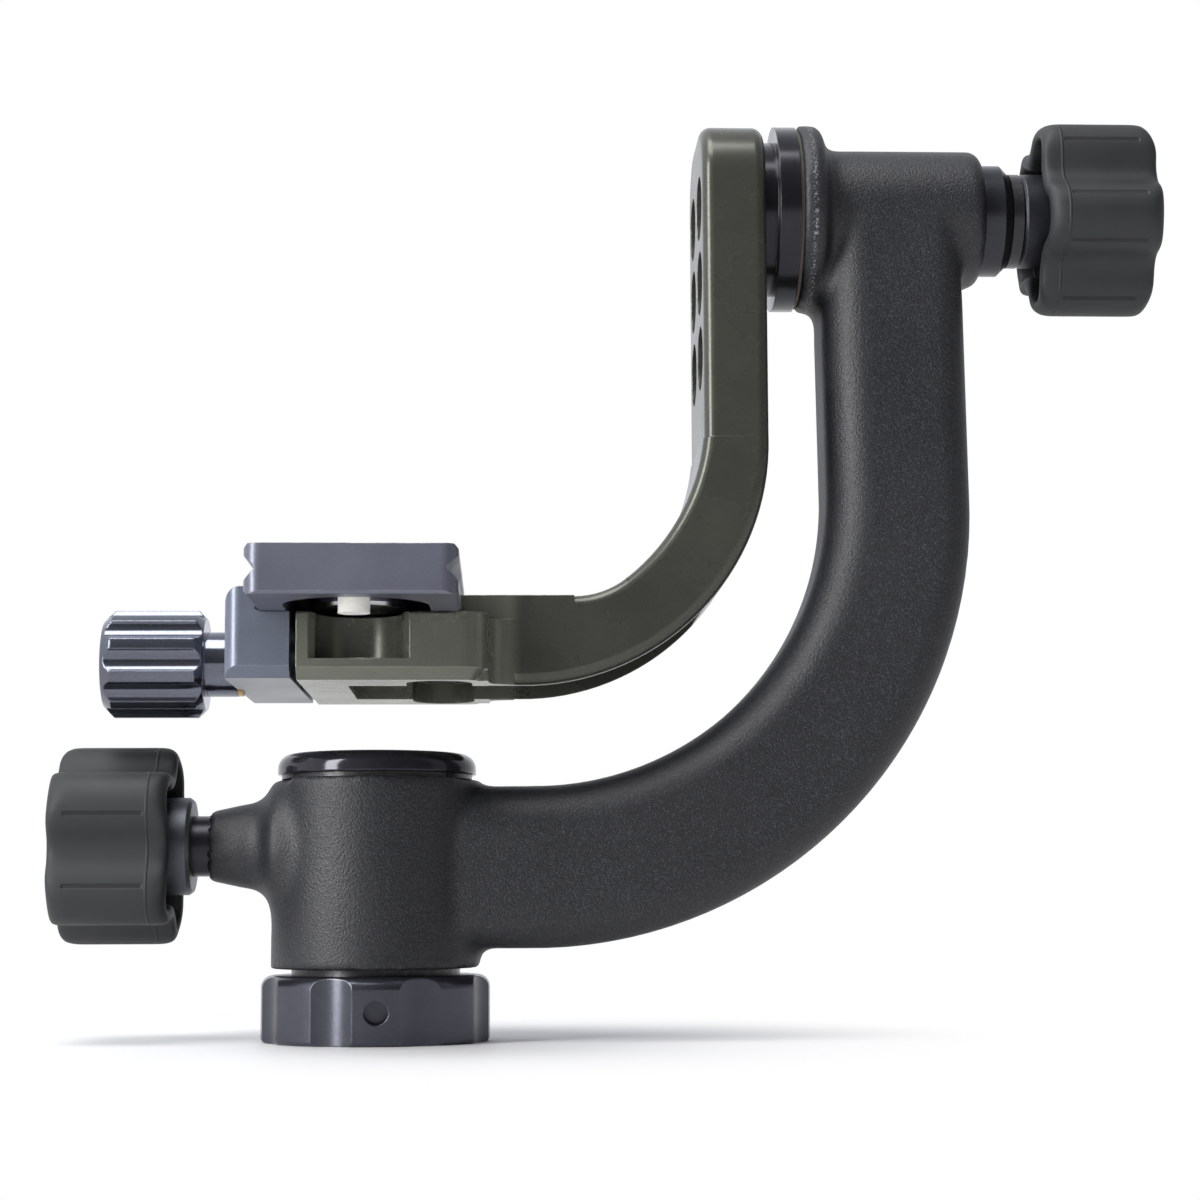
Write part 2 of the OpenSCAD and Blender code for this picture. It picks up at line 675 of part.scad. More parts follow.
// Rounds the edges of the opening inside the bend.
module swing_inner_edges() {
  turn = atan2(heel_z - inner_bend_z, heel_x - inner_bend_x);
  for (s = [-1, 1]) {
    translate([inner_bend_x, 0, inner_bend_z]) rotate([90, 0, 0]) rotate([0, 0, turn])
      rotate_extrude(angle = -turn, $fn = 160) edge_cut(swing_inner_r, s);
    translate([heel_x, 0, heel_z]) rotate([90, 0, 0]) rotate([0, 0, -90])
      rotate_extrude(angle = turn + 90, $fn = 96) edge_cut(swing_heel_r, s);
  }
}

// What rounding takes off the edge at radius r, on the side s.
module edge_cut(r, s) difference() {
  translate([r - 1, s > 0 ? swing_w / 2 - swing_edge : -swing_w / 2 - 1])
    square([swing_edge + 1, swing_edge + 1]);
  translate([r + swing_edge - shy, s * (swing_w / 2 - swing_edge + shy)]) circle(r = swing_edge);
}

// Clamp block with bevelled lower edges and round corners towards the arm.
module clamp_block() {
  half = clamp_l / 2;
  corner = block_wall;
  straight = block_end - corner;
  intersection() {
    translate([block_x, 0, 0]) rotate([90, 0, 90]) linear_extrude(straight - block_x)
      polygon([[-half + clamp_bevel, clamp_z], [half - clamp_bevel, clamp_z],
        [half, clamp_z + clamp_bevel], [half, seat_z - seat_bevel], [half - seat_bevel, seat_z],
        [seat_bevel - half, seat_z], [-half, seat_z - seat_bevel],
        [-half, clamp_z + clamp_bevel]]);
    translate([block_x, -half, 0]) cube([100, clamp_l, 200]);
  }
  translate([straight - eps, -half + corner, clamp_z])
    cube([corner, clamp_l - 2 * corner, seat_h]);
  for (s = [-1, 1]) translate([straight, s * (half - corner), clamp_z]) {
    cylinder(h = clamp_bevel, r1 = corner - clamp_bevel, r2 = corner);
    translate([0, 0, clamp_bevel]) cylinder(h = seat_h - clamp_bevel, r = corner);
  }
  for (s = [-1, 1]) translate([block_end - eps, s * (swing_w / 2 - 1), clamp_z])
    difference() {
      translate([0, s > 0 ? 0 : -6, 0]) cube([5, 6, seat_h]);
      translate([5, s * 6, -1]) cylinder(h = seat_h + 2, r = 5);
    }
}

// The room of the plate's dovetail at the fixed jaw, as an x-z outline to the left of the jaw.
module fixed_jaw_cut() {
  x = clamp_x + lip_x;
  polygon([[clamp_x - 60, seat_z], [x + 0.6, seat_z], [x + 0.6, seat_z + 0.6],
    [x, seat_z + 0.6], [x, flank_z], [x - groove_depth, flank_z + groove_depth],
    [x - groove_depth, jaw_top + 1], [clamp_x - 60, jaw_top + 1]]);
}

module front_notch() for (s = [-1, 1]) translate([clamp_x, s * clamp_l / 2, notch_floor]) {
  translate([0, -s * (notch_depth - notch_r), 0]) cylinder(h = seat_h, r = notch_r);
  translate([-notch_r, s > 0 ? -(notch_depth - notch_r) : 0, 0])
    cube([notch_d, notch_depth - notch_r, seat_h]);
  rotate([0, 0, s > 0 ? 0 : 180]) linear_extrude(seat_h)
    polygon([[-notch_r, -2.2], [notch_r, -2.2], [notch_r + 1.8, 1], [-notch_r - 1.8, 1]]);
}

// Slot and cross pocket under the clamp block.
module under_slot() {
  translate([slot_x, -under_w / 2, clamp_z - 1]) cube([pocket_x - slot_x, under_w, slot_depth + 1]);
  for (s = [-1, 1]) translate([pocket_x, s * pocket_half, clamp_z - 1])
    cylinder(h = pocket_depth + 1, r = pocket_r);
  translate([pocket_x - pocket_r, -pocket_half, clamp_z - 1])
    cube([2 * pocket_r, 2 * pocket_half, pocket_depth + 1]);
}

// Channel under the foot of the arm that runs into the bend.
module under_channel() {
  translate([swing_bend_x, 0, swing_bend_z]) rotate([90, 0, 0]) rotate([0, 0, -90])
    rotate_extrude(angle = 47, $fn = 160)
      translate([swing_outer_r - channel_depth, -under_w / 2]) square([channel_depth + 3, under_w]);
  translate([pocket_x, -under_w / 2, clamp_z - 1])
    cube([swing_bend_x - pocket_x, under_w, channel_depth + 1]);
}

module swing_arm() color("#3e3d35") difference() {
  union() {
    difference() {
      swing_body();
      slab(swing_w + 2) swing_inner_outline();
      swing_inner_edges();
      translate([clamp_x - 60, -50, 0]) cube([block_x - clamp_x + 60, 100, 300]);
      slab(swing_w + 2) fixed_jaw_cut();
    }
    clamp_block();
  }
  for (i = [0:2], s = [-1, 1]) {
    z = tilt_z - i * hole_pitch_z;
    y = s * hole_pitch_y / 2;
    rod_x(swing_in_x - 1, swing_hole_depth + 1, swing_hole_d / 2, z, y);
    rod_x(swing_in_x - 1, swing_t + 2, arm_screw_d / 2 + 0.3, z, y);
  }
  front_notch();
  under_slot();
  under_channel();
  rod_x(block_x - 1, screw_in_block + 2, clamp_screw_d / 2 + run, screw_z);
  for (s = [-1, 1]) rod_x(block_x - 1, pin_in_block + 1, pin_d / 2, pin_z, s * pin_span / 2);
}

module tilt_shaft() color("#1b1b20") difference() {
  union() {
    rod_x(swing_out_x, pad_t, pad_d / 2, tilt_z);
    rod_x(swing_out_x + pad_t, shaft_flange_t, shaft_flange_d / 2, tilt_z);
    rod_x(swing_out_x + pad_t, shaft_step_x - swing_out_x - pad_t, shaft_d / 2, tilt_z);
    rod_x(shaft_step_x - 1, shaft_end_x - shaft_step_x + 1, shaft_thread_d / 2, tilt_z);
  }
  for (s = [-1, 1])
    rod_x(swing_out_x - 1, pad_t + shaft_flange_t, arm_screw_d / 2, tilt_z, s * hole_pitch_y / 2);
}

module arm_screws() color("#55555c") for (s = [-1, 1]) difference() {
  union() {
    rod_x(swing_in_x + swing_hole_depth - arm_screw_d, arm_screw_d, arm_screw_d * 0.83,
      tilt_z, s * hole_pitch_y / 2);
    rod_x(swing_in_x + swing_hole_depth - 1, arm_screw_l + 1, arm_screw_d / 2, tilt_z,
      s * hole_pitch_y / 2);
  }
  along_x(swing_in_x + swing_hole_depth - arm_screw_d - 1, tilt_z, s * hole_pitch_y / 2)
    cylinder(h = 4, r = arm_screw_d * 0.48, $fn = 6);
}

module jaw_guide_pins() color("silver") for (s = [-1, 1])
  rod_x(jaw_in_x - pin_in_jaw, pin_in_jaw + jaw_gap + pin_in_block, pin_d / 2, pin_z, s * pin_span / 2);

// ---------------------------------------------------------------- clamp

// Movable jaw outline in x-z.
module jaw_outline() {
  x = clamp_x - lip_x;
  r = jaw_edge;
  polygon([[jaw_out_x, clamp_z + 0.3], [jaw_in_x, clamp_z + 0.3], [jaw_in_x, seat_z],
    [x + 0.8, seat_z], [x - 1, seat_z + 0.8], [x, seat_z + 1.8], [x, flank_z],
    [x + groove_depth, flank_z + groove_depth], [x + groove_depth, jaw_top],
    [jaw_out_x + r, jaw_top],
    [jaw_out_x, jaw_top - r]]);
  translate([jaw_out_x + r, jaw_top - r]) circle(r = r);
}

module clamp_jaw() color("#3d4452") difference() {
  intersection() {
    slab(clamp_l) jaw_outline();
    linear_extrude(200) soft_rect(jaw_out_x, jaw_in_x + 20, clamp_l, jaw_edge, 0.5);
  }
  rod_x(jaw_out_x - 1, jaw_t + 2, clamp_screw_d / 2 + 0.15, screw_z);
  rod_x(jaw_out_x - 1, jaw_spot + 1, hub_r + 0.1, screw_z);
  rod_x(jaw_in_x - 1.6, 3, clamp_screw_d / 2 + 2.2, screw_z);
  for (s = [-1, 1])
    rod_x(jaw_in_x - pin_in_jaw - 1, pin_in_jaw + 2, pin_d / 2 + run, pin_z, s * pin_span / 2);
  for (s = [-1, 1]) translate([0, s * clamp_l / 2, clamp_z + 0.3]) rotate([45, 0, 0])
    translate([-50, -clamp_bevel * 0.7, -clamp_bevel * 0.7])
      cube([100, clamp_bevel * 1.4, clamp_bevel * 1.4]);
}

module clamp_washer() color("#c7a04a")
  tube_x(jaw_out_x + jaw_spot - clamp_washer_t, clamp_washer_t, hub_r - 0.1,
    clamp_screw_d / 2 + 0.15, screw_z);

module jaw_circlip() color("#55555c")
  tube_x(jaw_in_x - 1.5, 0.8, clamp_screw_d / 2 + 2, clamp_screw_d / 2, screw_z);

module clamp_screw() color("silver")
  rod_x(knob_in_x - knob_bore, block_x + screw_in_block - knob_in_x + knob_bore, clamp_screw_d / 2,
    screw_z);

module clamp_knob() color("#2b2e38") difference() {
  union() {
    translate([knob_in_x, 0, screw_z]) rotate([0, -90, 0]) {
      cylinder(h = clamp_knob_bevel, r1 = knob_r - clamp_knob_bevel, r2 = knob_r);
      translate([0, 0, clamp_knob_bevel])
        cylinder(h = clamp_knob_l - clamp_knob_bevel - end_bevel, r = knob_r);
      translate([0, 0, clamp_knob_l - end_bevel])
        cylinder(h = end_bevel, r1 = knob_r, r2 = knob_r - end_bevel);
    }
    rod_x(knob_in_x - 1, jaw_out_x + jaw_spot - clamp_washer_t - run - knob_in_x + 1, hub_r,
      screw_z);
  }
  for (i = [0:flutes - 1]) translate([0, 0, screw_z]) rotate([(i + 0.5) * 360 / flutes, 0, 0])
    rod_x(knob_in_x - clamp_knob_l - 1, clamp_knob_l + 1.01, flute_r, knob_r + flute_r - flute_cut);
  rod_x(knob_in_x - knob_bore, 40, clamp_screw_d / 2, screw_z);
}

// ---------------------------------------------------------------- plate

// Dovetail outline of the plate in x-z, centred on x = 0 with its underside at z = 0.
module plate_outline() {
  h = plate_t;
  r = clamp_r;
  g = r - groove_depth;
  low = lip_straight;
  right = [[r - 0.65, 0], [r, 0.65], [r, low], [g, low + groove_depth],
    [g, low + groove_depth + 0.6], [r, low + 2 * groove_depth + 0.6], [r, h - 0.8], [r - 0.8, h]];
  polygon(concat(right, [for (i = [len(right) - 1:-1:0]) [-right[i][0], right[i][1]]]));
}

// Side view of the plate in y-z, bevelled under both ends.
module plate_side() {
  half = plate_l / 2;
  b = plate_bevel;
  polygon([[b - half - eps, -eps], [half - b + eps, -eps], [half + eps, b + eps],
    [half + eps, plate_t + 1], [-half - eps, plate_t + 1], [-half - eps, b + eps]]);
}

module quick_release_plate() color("#4a4b58") translate([clamp_x, 0, plate_z])
  difference() {
    intersection() {
      translate([0, plate_y, 0]) slab(plate_l) plate_outline();
      translate([0, plate_y, -1]) rotate([0, 0, 90]) linear_extrude(plate_t + 2)
        soft_rect(-plate_l / 2, plate_l / 2, dovetail_w, plate_corner, plate_corner);
      translate([-dovetail_w, plate_y, 0]) rotate([90, 0, 90]) linear_extrude(2 * dovetail_w)
        plate_side();
    }
    for (s = [-1, 1])
      translate([0, plate_y + s * (plate_l / 2 - recess_end - recess_w / 2), -1])
        cylinder(h = recess_depth + 1, r = recess_w / 2);
    translate([-recess_w / 2, plate_y - plate_l / 2 + recess_end + recess_w / 2, -1])
      cube([recess_w, plate_l - 2 * recess_end - recess_w, recess_depth + 1]);
    for (s = [-1, 1]) translate([0, plate_y + s * slot_l / 2, -1])
      cylinder(h = plate_t + 2, r = camera_screw_d / 2 + 0.1);
    translate([-camera_screw_d / 2 - 0.1, plate_y - slot_l / 2, -1])
      cube([camera_screw_d + 0.2, slot_l, plate_t + 2]);
    for (s = [-1, 1])
      translate([-dovetail_w, plate_y + s * strip_out - strip_w / 2, plate_t - strip_seat])
        cube([2 * dovetail_w, strip_w, strip_t + 1]);
    translate([0, stop_y, recess_depth - 1]) cylinder(h = 3, r = 1.5);
  }

module plate_grip_pads() color("#202022")
  translate([clamp_x, plate_y, plate_z + plate_t - strip_seat]) for (s = [-1, 1])
    translate([-dovetail_w / 2 + strip_inset, s * strip_out - strip_w / 2, 0])
      cube([dovetail_w - 2 * strip_inset, strip_w, strip_t]);

module plate_stop_screw() color("#c8c8cc") translate([clamp_x, stop_y, plate_z]) {
  translate([0, 0, -stop_screw_out]) cylinder(h = recess_depth + stop_screw_out, r = stop_screw_d / 2);
  translate([0, 0, recess_depth - 1]) cylinder(h = 3, r = 1.5);
}

module camera_screw() color("silver") translate([clamp_x, plate_y, plate_z]) {
  translate([0, 0, recess_depth - 3]) cylinder(h = 3 - run, r = screw_head_r);
  translate([0, 0, recess_depth - 1])
    cylinder(h = plate_t - recess_depth + 2, r = camera_screw_d / 2 - 0.6);
  translate([0, 0, plate_t + 0.3]) cylinder(h = camera_screw_out - 0.3, r = camera_screw_d / 2);
}

base_wheel();
pan_spindle();
pan_thrust_washer();
upper_pan_washer();
place_cap() spindle_cap();
place_cap() cap_screw();
main_arm();
pan_bush_lower();
pan_bush_upper();
tilt_bush_inner();
tilt_bush_outer();
tilt_collar();
tilt_thrust_washer();
pan_brake_shoe();
pan_lock_stud();
pan_lock_hub();
pan_lock_grip();
swing_arm();
tilt_shaft();
arm_screws();
jaw_guide_pins();
tilt_lock_washer();
tilt_lock_hub();
tilt_lock_grip();
clamp_jaw();
clamp_washer();
jaw_circlip();
clamp_screw();
clamp_knob();
quick_release_plate();
plate_grip_pads();
plate_stop_screw();
camera_screw();
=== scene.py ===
import json
import math

import bpy
import numpy as np
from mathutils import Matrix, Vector

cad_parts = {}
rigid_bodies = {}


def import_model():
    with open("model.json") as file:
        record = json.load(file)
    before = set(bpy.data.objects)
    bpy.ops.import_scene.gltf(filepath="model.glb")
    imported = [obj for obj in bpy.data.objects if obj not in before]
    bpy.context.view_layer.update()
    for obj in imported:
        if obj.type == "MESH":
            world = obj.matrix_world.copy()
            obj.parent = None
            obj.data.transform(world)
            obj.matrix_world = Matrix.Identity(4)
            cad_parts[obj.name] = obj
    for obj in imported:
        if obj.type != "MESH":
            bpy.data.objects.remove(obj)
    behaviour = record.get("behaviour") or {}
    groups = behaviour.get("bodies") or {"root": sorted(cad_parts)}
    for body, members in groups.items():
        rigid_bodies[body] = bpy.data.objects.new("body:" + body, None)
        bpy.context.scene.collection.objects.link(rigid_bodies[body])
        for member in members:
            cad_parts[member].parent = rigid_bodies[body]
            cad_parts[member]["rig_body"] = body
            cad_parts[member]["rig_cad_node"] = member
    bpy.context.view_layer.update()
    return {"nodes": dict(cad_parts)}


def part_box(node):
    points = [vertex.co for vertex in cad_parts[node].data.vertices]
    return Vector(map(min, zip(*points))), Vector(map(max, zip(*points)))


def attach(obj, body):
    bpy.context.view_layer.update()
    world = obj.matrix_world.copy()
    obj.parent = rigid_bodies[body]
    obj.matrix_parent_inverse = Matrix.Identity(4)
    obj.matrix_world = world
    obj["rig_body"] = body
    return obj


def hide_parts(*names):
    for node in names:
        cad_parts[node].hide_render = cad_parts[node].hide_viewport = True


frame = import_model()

nodes = frame["nodes"]


# ---------------------------------------------------------------- camera
# The photograph looks along the part's +Y from half a metre off, low down at the height of the pan
# housing. Its aim is turned 2.2 degrees to the right and raised 6.8 degrees, with hardly any roll.
PHOTO_PX = 1200
FOCAL_PX = 2536.6
SENSOR_MM = 36.0
CAMERA_PLACE = (0.02459, -0.50172, 0.02624)
YAW, PITCH, ROLL = 0.0383, 0.1195, -0.0038
bpy.ops.object.camera_add(location=CAMERA_PLACE, rotation=(math.pi / 2 + PITCH, -ROLL, -YAW))
camera = bpy.context.object
camera.name = "photo_camera"
camera.data.sensor_width = SENSOR_MM
camera.data.lens = SENSOR_MM * FOCAL_PX / PHOTO_PX
camera.data.clip_start = 0.01
camera.data.dof.use_dof = False
bpy.context.scene.camera = camera
bpy.context.scene.view_settings.view_transform = "Standard"


# ---------------------------------------------------------------- table, room and lamps
# A white laminate table in a white tent. The camera and polished metal see both as white, and the
# laminate keeps the soft shadow under the head. A tall soft box at the left gives the highlights.
def srgb(code):
    """'#rrggbb' as linear red, green and blue, with an alpha of 1."""
    parts = [int(code[i:i + 2], 16) / 255 for i in (1, 3, 5)]
    return [p / 12.92 if p <= 0.04045 else ((p + 0.055) / 1.055) ** 2.4 for p in parts] + [1.0]


def add(owner, kind, settings=None, inputs=None):
    """One new node: settings are its attributes, inputs take a value or another node's output."""
    tree = owner.node_tree
    made = tree.nodes.new(kind)
    for key, value in (settings or {}).items():
        setattr(made, key, value)
    for key, value in (inputs or {}).items():
        if isinstance(value, bpy.types.NodeSocket):
            tree.links.new(value, made.inputs[key])
        else:
            made.inputs[key].default_value = value
    return made


def new_material(name):
    """An empty node material and its output node."""
    made = bpy.data.materials.new(name)
    made.use_nodes = True
    made.node_tree.nodes.clear()
    return made, add(made, "ShaderNodeOutputMaterial")


TABLE_M = 8
BLOTCH_MM = 25.0
LAMINATE_ROUGH = 0.55
LOW, HIGH = 0.3, 0.7  # a noise texture hardly leaves this range
laminate, out = new_material("white table laminate")
where = add(laminate, "ShaderNodeTexCoord")
blotch = add(laminate, "ShaderNodeTexNoise", inputs={
    "Vector": where.outputs["Object"], "Scale": 1000 / BLOTCH_MM, "Detail": 4.0})
shade = add(laminate, "ShaderNodeMapRange", inputs={
    "Value": blotch.outputs["Fac"], "From Min": LOW, "From Max": HIGH,
    "To Min": 0.88, "To Max": 0.93})
sheen = add(laminate, "ShaderNodeBsdfPrincipled", inputs={
    "Base Color": shade.outputs[0], "Roughness": LAMINATE_ROUGH})
# close to the head the camera sees the lit laminate, further off plain white
LIT_R, WHITE_R = 0.045, 0.13
away = add(laminate, "ShaderNodeVectorMath", {"operation": "LENGTH"}, {0: where.outputs["Object"]})
reach = add(laminate, "ShaderNodeMapRange", {"interpolation_type": "SMOOTHSTEP"}, {
    "Value": away.outputs["Value"], "From Min": LIT_R, "From Max": WHITE_R})
near = add(laminate, "ShaderNodeBsdfPrincipled", inputs={
    "Base Color": srgb("#dcdcdc"), "Roughness": LAMINATE_ROUGH})
white = add(laminate, "ShaderNodeEmission", inputs={"Color": srgb("#ffffff"), "Strength": 1.0})
seen = add(laminate, "ShaderNodeMixShader", inputs={
    0: reach.outputs[0], 1: near.outputs[0], 2: white.outputs[0]})
path = add(laminate, "ShaderNodeLightPath")
direct = add(laminate, "ShaderNodeMath", {"operation": "MAXIMUM"}, {
    0: path.outputs["Is Camera Ray"], 1: path.outputs["Is Glossy Ray"]})
either = add(laminate, "ShaderNodeMixShader", inputs={
    0: direct.outputs[0], 1: sheen.outputs[0], 2: seen.outputs[0]})
laminate.node_tree.links.new(either.outputs[0], out.inputs["Surface"])

bpy.ops.object.select_all(action="DESELECT")
bpy.ops.mesh.primitive_plane_add(size=TABLE_M, location=(0, 0, 0))
table = bpy.context.object
table.name = "table_top"
table.data.materials.append(laminate)

tent = bpy.data.worlds.new("white tent")
bpy.context.scene.world = tent
tent.use_nodes = True
tent.node_tree.nodes.clear()
tent_out = add(tent, "ShaderNodeOutputWorld")
path = add(tent, "ShaderNodeLightPath")
toward = add(tent, "ShaderNodeTexCoord")
# the tent is open, and dark, at the front right; its left and back are the brightest
BRIGHT_SIDE = (-0.6, 0.8, 0.0)
OPENING_GLOW, CLOTH_GLOW = 0.03, 1.1
deep = add(tent, "ShaderNodeVectorMath", {"operation": "DOT_PRODUCT"}, {
    0: toward.outputs["Generated"], 1: BRIGHT_SIDE})
depth = add(tent, "ShaderNodeMapRange", inputs={
    "Value": deep.outputs["Value"], "From Min": -0.9, "From Max": 0.5,
    "To Min": OPENING_GLOW, "To Max": CLOTH_GLOW})
cloth = add(tent, "ShaderNodeBackground", inputs={
    "Color": srgb("#f6f8ff"), "Strength": depth.outputs[0]})
blank = add(tent, "ShaderNodeBackground", inputs={"Color": srgb("#ffffff"), "Strength": 1.0})
mixed = add(tent, "ShaderNodeMixShader", inputs={
    0: path.outputs["Is Camera Ray"], 1: cloth.outputs[0], 2: blank.outputs[0]})
tent.node_tree.links.new(mixed.outputs[0], tent_out.inputs["Surface"])

HEAD_MIDDLE = (0.04, 0, 0.09)
for name, place, width, height, watts in (
        ("overhead_box", (-0.15, -0.25, 0.95), 0.6, 0.5, 6.5),
        ("left_box", (-0.62, -0.50, 0.28), 0.22, 0.8, 9.0),
        ("right_box", (0.95, -0.20, 0.35), 0.4, 0.8, 0.2)):
    bpy.ops.object.light_add(type="AREA", location=place)
    lamp = bpy.context.object
    lamp.name = name
    lamp.data.shape = "RECTANGLE"
    lamp.data.size = width
    lamp.data.size_y = height
    lamp.data.energy = watts
    aim = Vector(HEAD_MIDDLE) - Vector(place)
    lamp.rotation_euler = aim.to_track_quat("-Z", "Y").to_euler()


# ---------------------------------------------------------------- base wheel
# A turned aluminium disc with eight scallops and a hole for a tommy bar. It is anodised black, so
# it has a thin glassy skin over metal, faint lathe rings, and bare metal where its edges rubbed.
def cover(piece, finish):
    """Give an object one material and no other."""
    piece.data.materials.clear()
    piece.data.materials.append(finish)


def dress(node_name, finish):
    """Give a carried-over node its finish."""
    cover(nodes[node_name], finish)


def lathe_rings(made, axis, height, pitch_mm):
    """Noise that runs round an axis, as the tool leaves it: 'Z', or 'X' at a height above the foot.

    Real marks are finer than a pixel, so they are drawn a quarter to half a millimetre apart."""
    where = add(made, "ShaderNodeTexCoord")
    split = add(made, "ShaderNodeSeparateXYZ", inputs={0: where.outputs["Object"]})
    along, side = ("Z", "X") if axis == "Z" else ("X", "Z")
    level = add(made, "ShaderNodeMath", {"operation": "SUBTRACT"}, {
        0: split.outputs[side], 1: height})
    across = add(made, "ShaderNodeCombineXYZ", inputs={
        "X": level.outputs[0], "Y": split.outputs["Y"], "Z": 0.0})
    radius = add(made, "ShaderNodeVectorMath", {"operation": "LENGTH"}, {0: across.outputs[0]})
    spot = add(made, "ShaderNodeCombineXYZ", inputs={
        "X": radius.outputs["Value"], "Y": 0.0, "Z": split.outputs[along]})
    return add(made, "ShaderNodeTexNoise", inputs={
        "Vector": spot.outputs[0], "Scale": 1000 / pitch_mm, "Detail": 2.0})


RING_MM = 0.3
PAN_RINGS = ("Z", 0.0, RING_MM)
DRIFT_MM = 18.18  # slow changes of the dye's colour
CHIP_MM = 4.1667  # patches where an edge is rubbed
BARE_METAL = "#b4b2ad"
FLAT_COS, EDGE_COS = 0.985, 0.88  # between the softened and the true normal
RING_DEPTH, GRAIN_DEPTH = 0.000012, 0.00002  # metres


def anodised(name, code, metal, rough, grain_mm=0.3, edge_mm=0.25, rub=0.6, rings=None, painted_light=None):
    """Dyed oxide on aluminium: cloudy colour, etched grain or lathe rings, edges rubbed to metal.

    The real grain is finer than a pixel, so it is drawn a quarter to a third of a millimetre wide.
    The last argument, (from_x, to_x, gain), is painted light: up to from_x the colour is that much
    lighter."""
    made, end = new_material(name)
    where = add(made, "ShaderNodeTexCoord")
    grain = add(made, "ShaderNodeTexNoise", inputs={
        "Vector": where.outputs["Object"], "Scale": 1000 / grain_mm, "Detail": 3.0})
    cloud = add(made, "ShaderNodeTexNoise", inputs={
        "Vector": where.outputs["Object"], "Scale": 1000 / DRIFT_MM, "Detail": 5.0,
        "Roughness": 0.6})
    tone = add(made, "ShaderNodeMapRange", inputs={
        "Value": cloud.outputs["Fac"], "From Min": LOW, "From Max": HIGH,
        "To Min": 0.9, "To Max": 1.1})
    fleck = add(made, "ShaderNodeMapRange", inputs={
        "Value": grain.outputs["Fac"], "From Min": 0.35, "From Max": 0.65,
        "To Min": 0.9, "To Max": 1.1})
    both = add(made, "ShaderNodeMath", {"operation": "MULTIPLY"}, {
        0: tone.outputs[0], 1: fleck.outputs[0]})
    # painted light: up to from_x the colour is made lighter by the given gain
    if painted_light:
        from_x, to_x, most = painted_light
        split = add(made, "ShaderNodeSeparateXYZ", inputs={0: where.outputs["Object"]})
        gain = add(made, "ShaderNodeMapRange", {"interpolation_type": "SMOOTHSTEP"}, {
            "Value": split.outputs["X"], "From Min": from_x, "From Max": to_x,
            "To Min": most, "To Max": 1.0})
        both = add(made, "ShaderNodeMath", {"operation": "MULTIPLY"}, {
            0: both.outputs[0], 1: gain.outputs[0]})
    dye = add(made, "ShaderNodeVectorMath", {"operation": "SCALE"}, {
        0: srgb(code)[:3], "Scale": both.outputs[0]})
    # edges: where the softened normal leaves the true one, in patches, the dye is gone
    soft = add(made, "ShaderNodeBevel", {"samples": 6}, {"Radius": edge_mm / 1000})
    face = add(made, "ShaderNodeNewGeometry")
    same = add(made, "ShaderNodeVectorMath", {"operation": "DOT_PRODUCT"}, {
        0: soft.outputs[0], 1: face.outputs["Normal"]})
    ridge = add(made, "ShaderNodeMapRange", inputs={
        "Value": same.outputs["Value"], "From Min": FLAT_COS, "From Max": EDGE_COS})
    patch = add(made, "ShaderNodeTexNoise", inputs={
        "Vector": where.outputs["Object"], "Scale": 1000 / CHIP_MM, "Detail": 4.0})
    worn = add(made, "ShaderNodeMapRange", inputs={
        "Value": patch.outputs["Fac"], "From Min": 0.42, "From Max": 0.62, "To Max": rub})
    bare = add(made, "ShaderNodeMath", {"operation": "MULTIPLY"}, {
        0: ridge.outputs[0], 1: worn.outputs[0]})
    colour = add(made, "ShaderNodeMix", {"data_type": "RGBA"}, {
        0: bare.outputs[0], 6: dye.outputs[0], 7: srgb(BARE_METAL)})
    shine = add(made, "ShaderNodeMapRange", inputs={"Value": bare.outputs[0], "To Min": metal})
    smudge = add(made, "ShaderNodeMapRange", inputs={
        "Value": cloud.outputs["Fac"], "From Min": LOW, "From Max": HIGH,
        "To Min": rough * 0.85, "To Max": rough * 1.15})
    if rings:
        relief, depth = lathe_rings(made, *rings), RING_DEPTH
    else:
        relief, depth = grain, GRAIN_DEPTH
    bump = add(made, "ShaderNodeBump", inputs={
        "Height": relief.outputs["Fac"], "Strength": 0.35, "Distance": depth,
        "Normal": soft.outputs[0]})
    skin = add(made, "ShaderNodeBsdfPrincipled", inputs={
        "Base Color": colour.outputs[2], "Metallic": shine.outputs[0],
        "Roughness": smudge.outputs[0], "Normal": bump.outputs[0]})
    made.node_tree.links.new(skin.outputs[0], end.inputs["Surface"])
    return made


dress("base_wheel", anodised("black anodised aluminium, turned and scalloped", "#4e4f57",
                             0.85, 0.24, edge_mm=0.35, rub=0.25, rings=("Z", 0.0, 0.25)))


# ---------------------------------------------------------------- pan post with its washers and cap
# The steel post that the tripod stud screws into, with an acetal washer under the housing and one
# on top. A gloss black cap with a shallow dish closes it, held by a blackened countersunk screw.
SMUDGE_MM = 11.11
SCUFF_MM = 1.1111


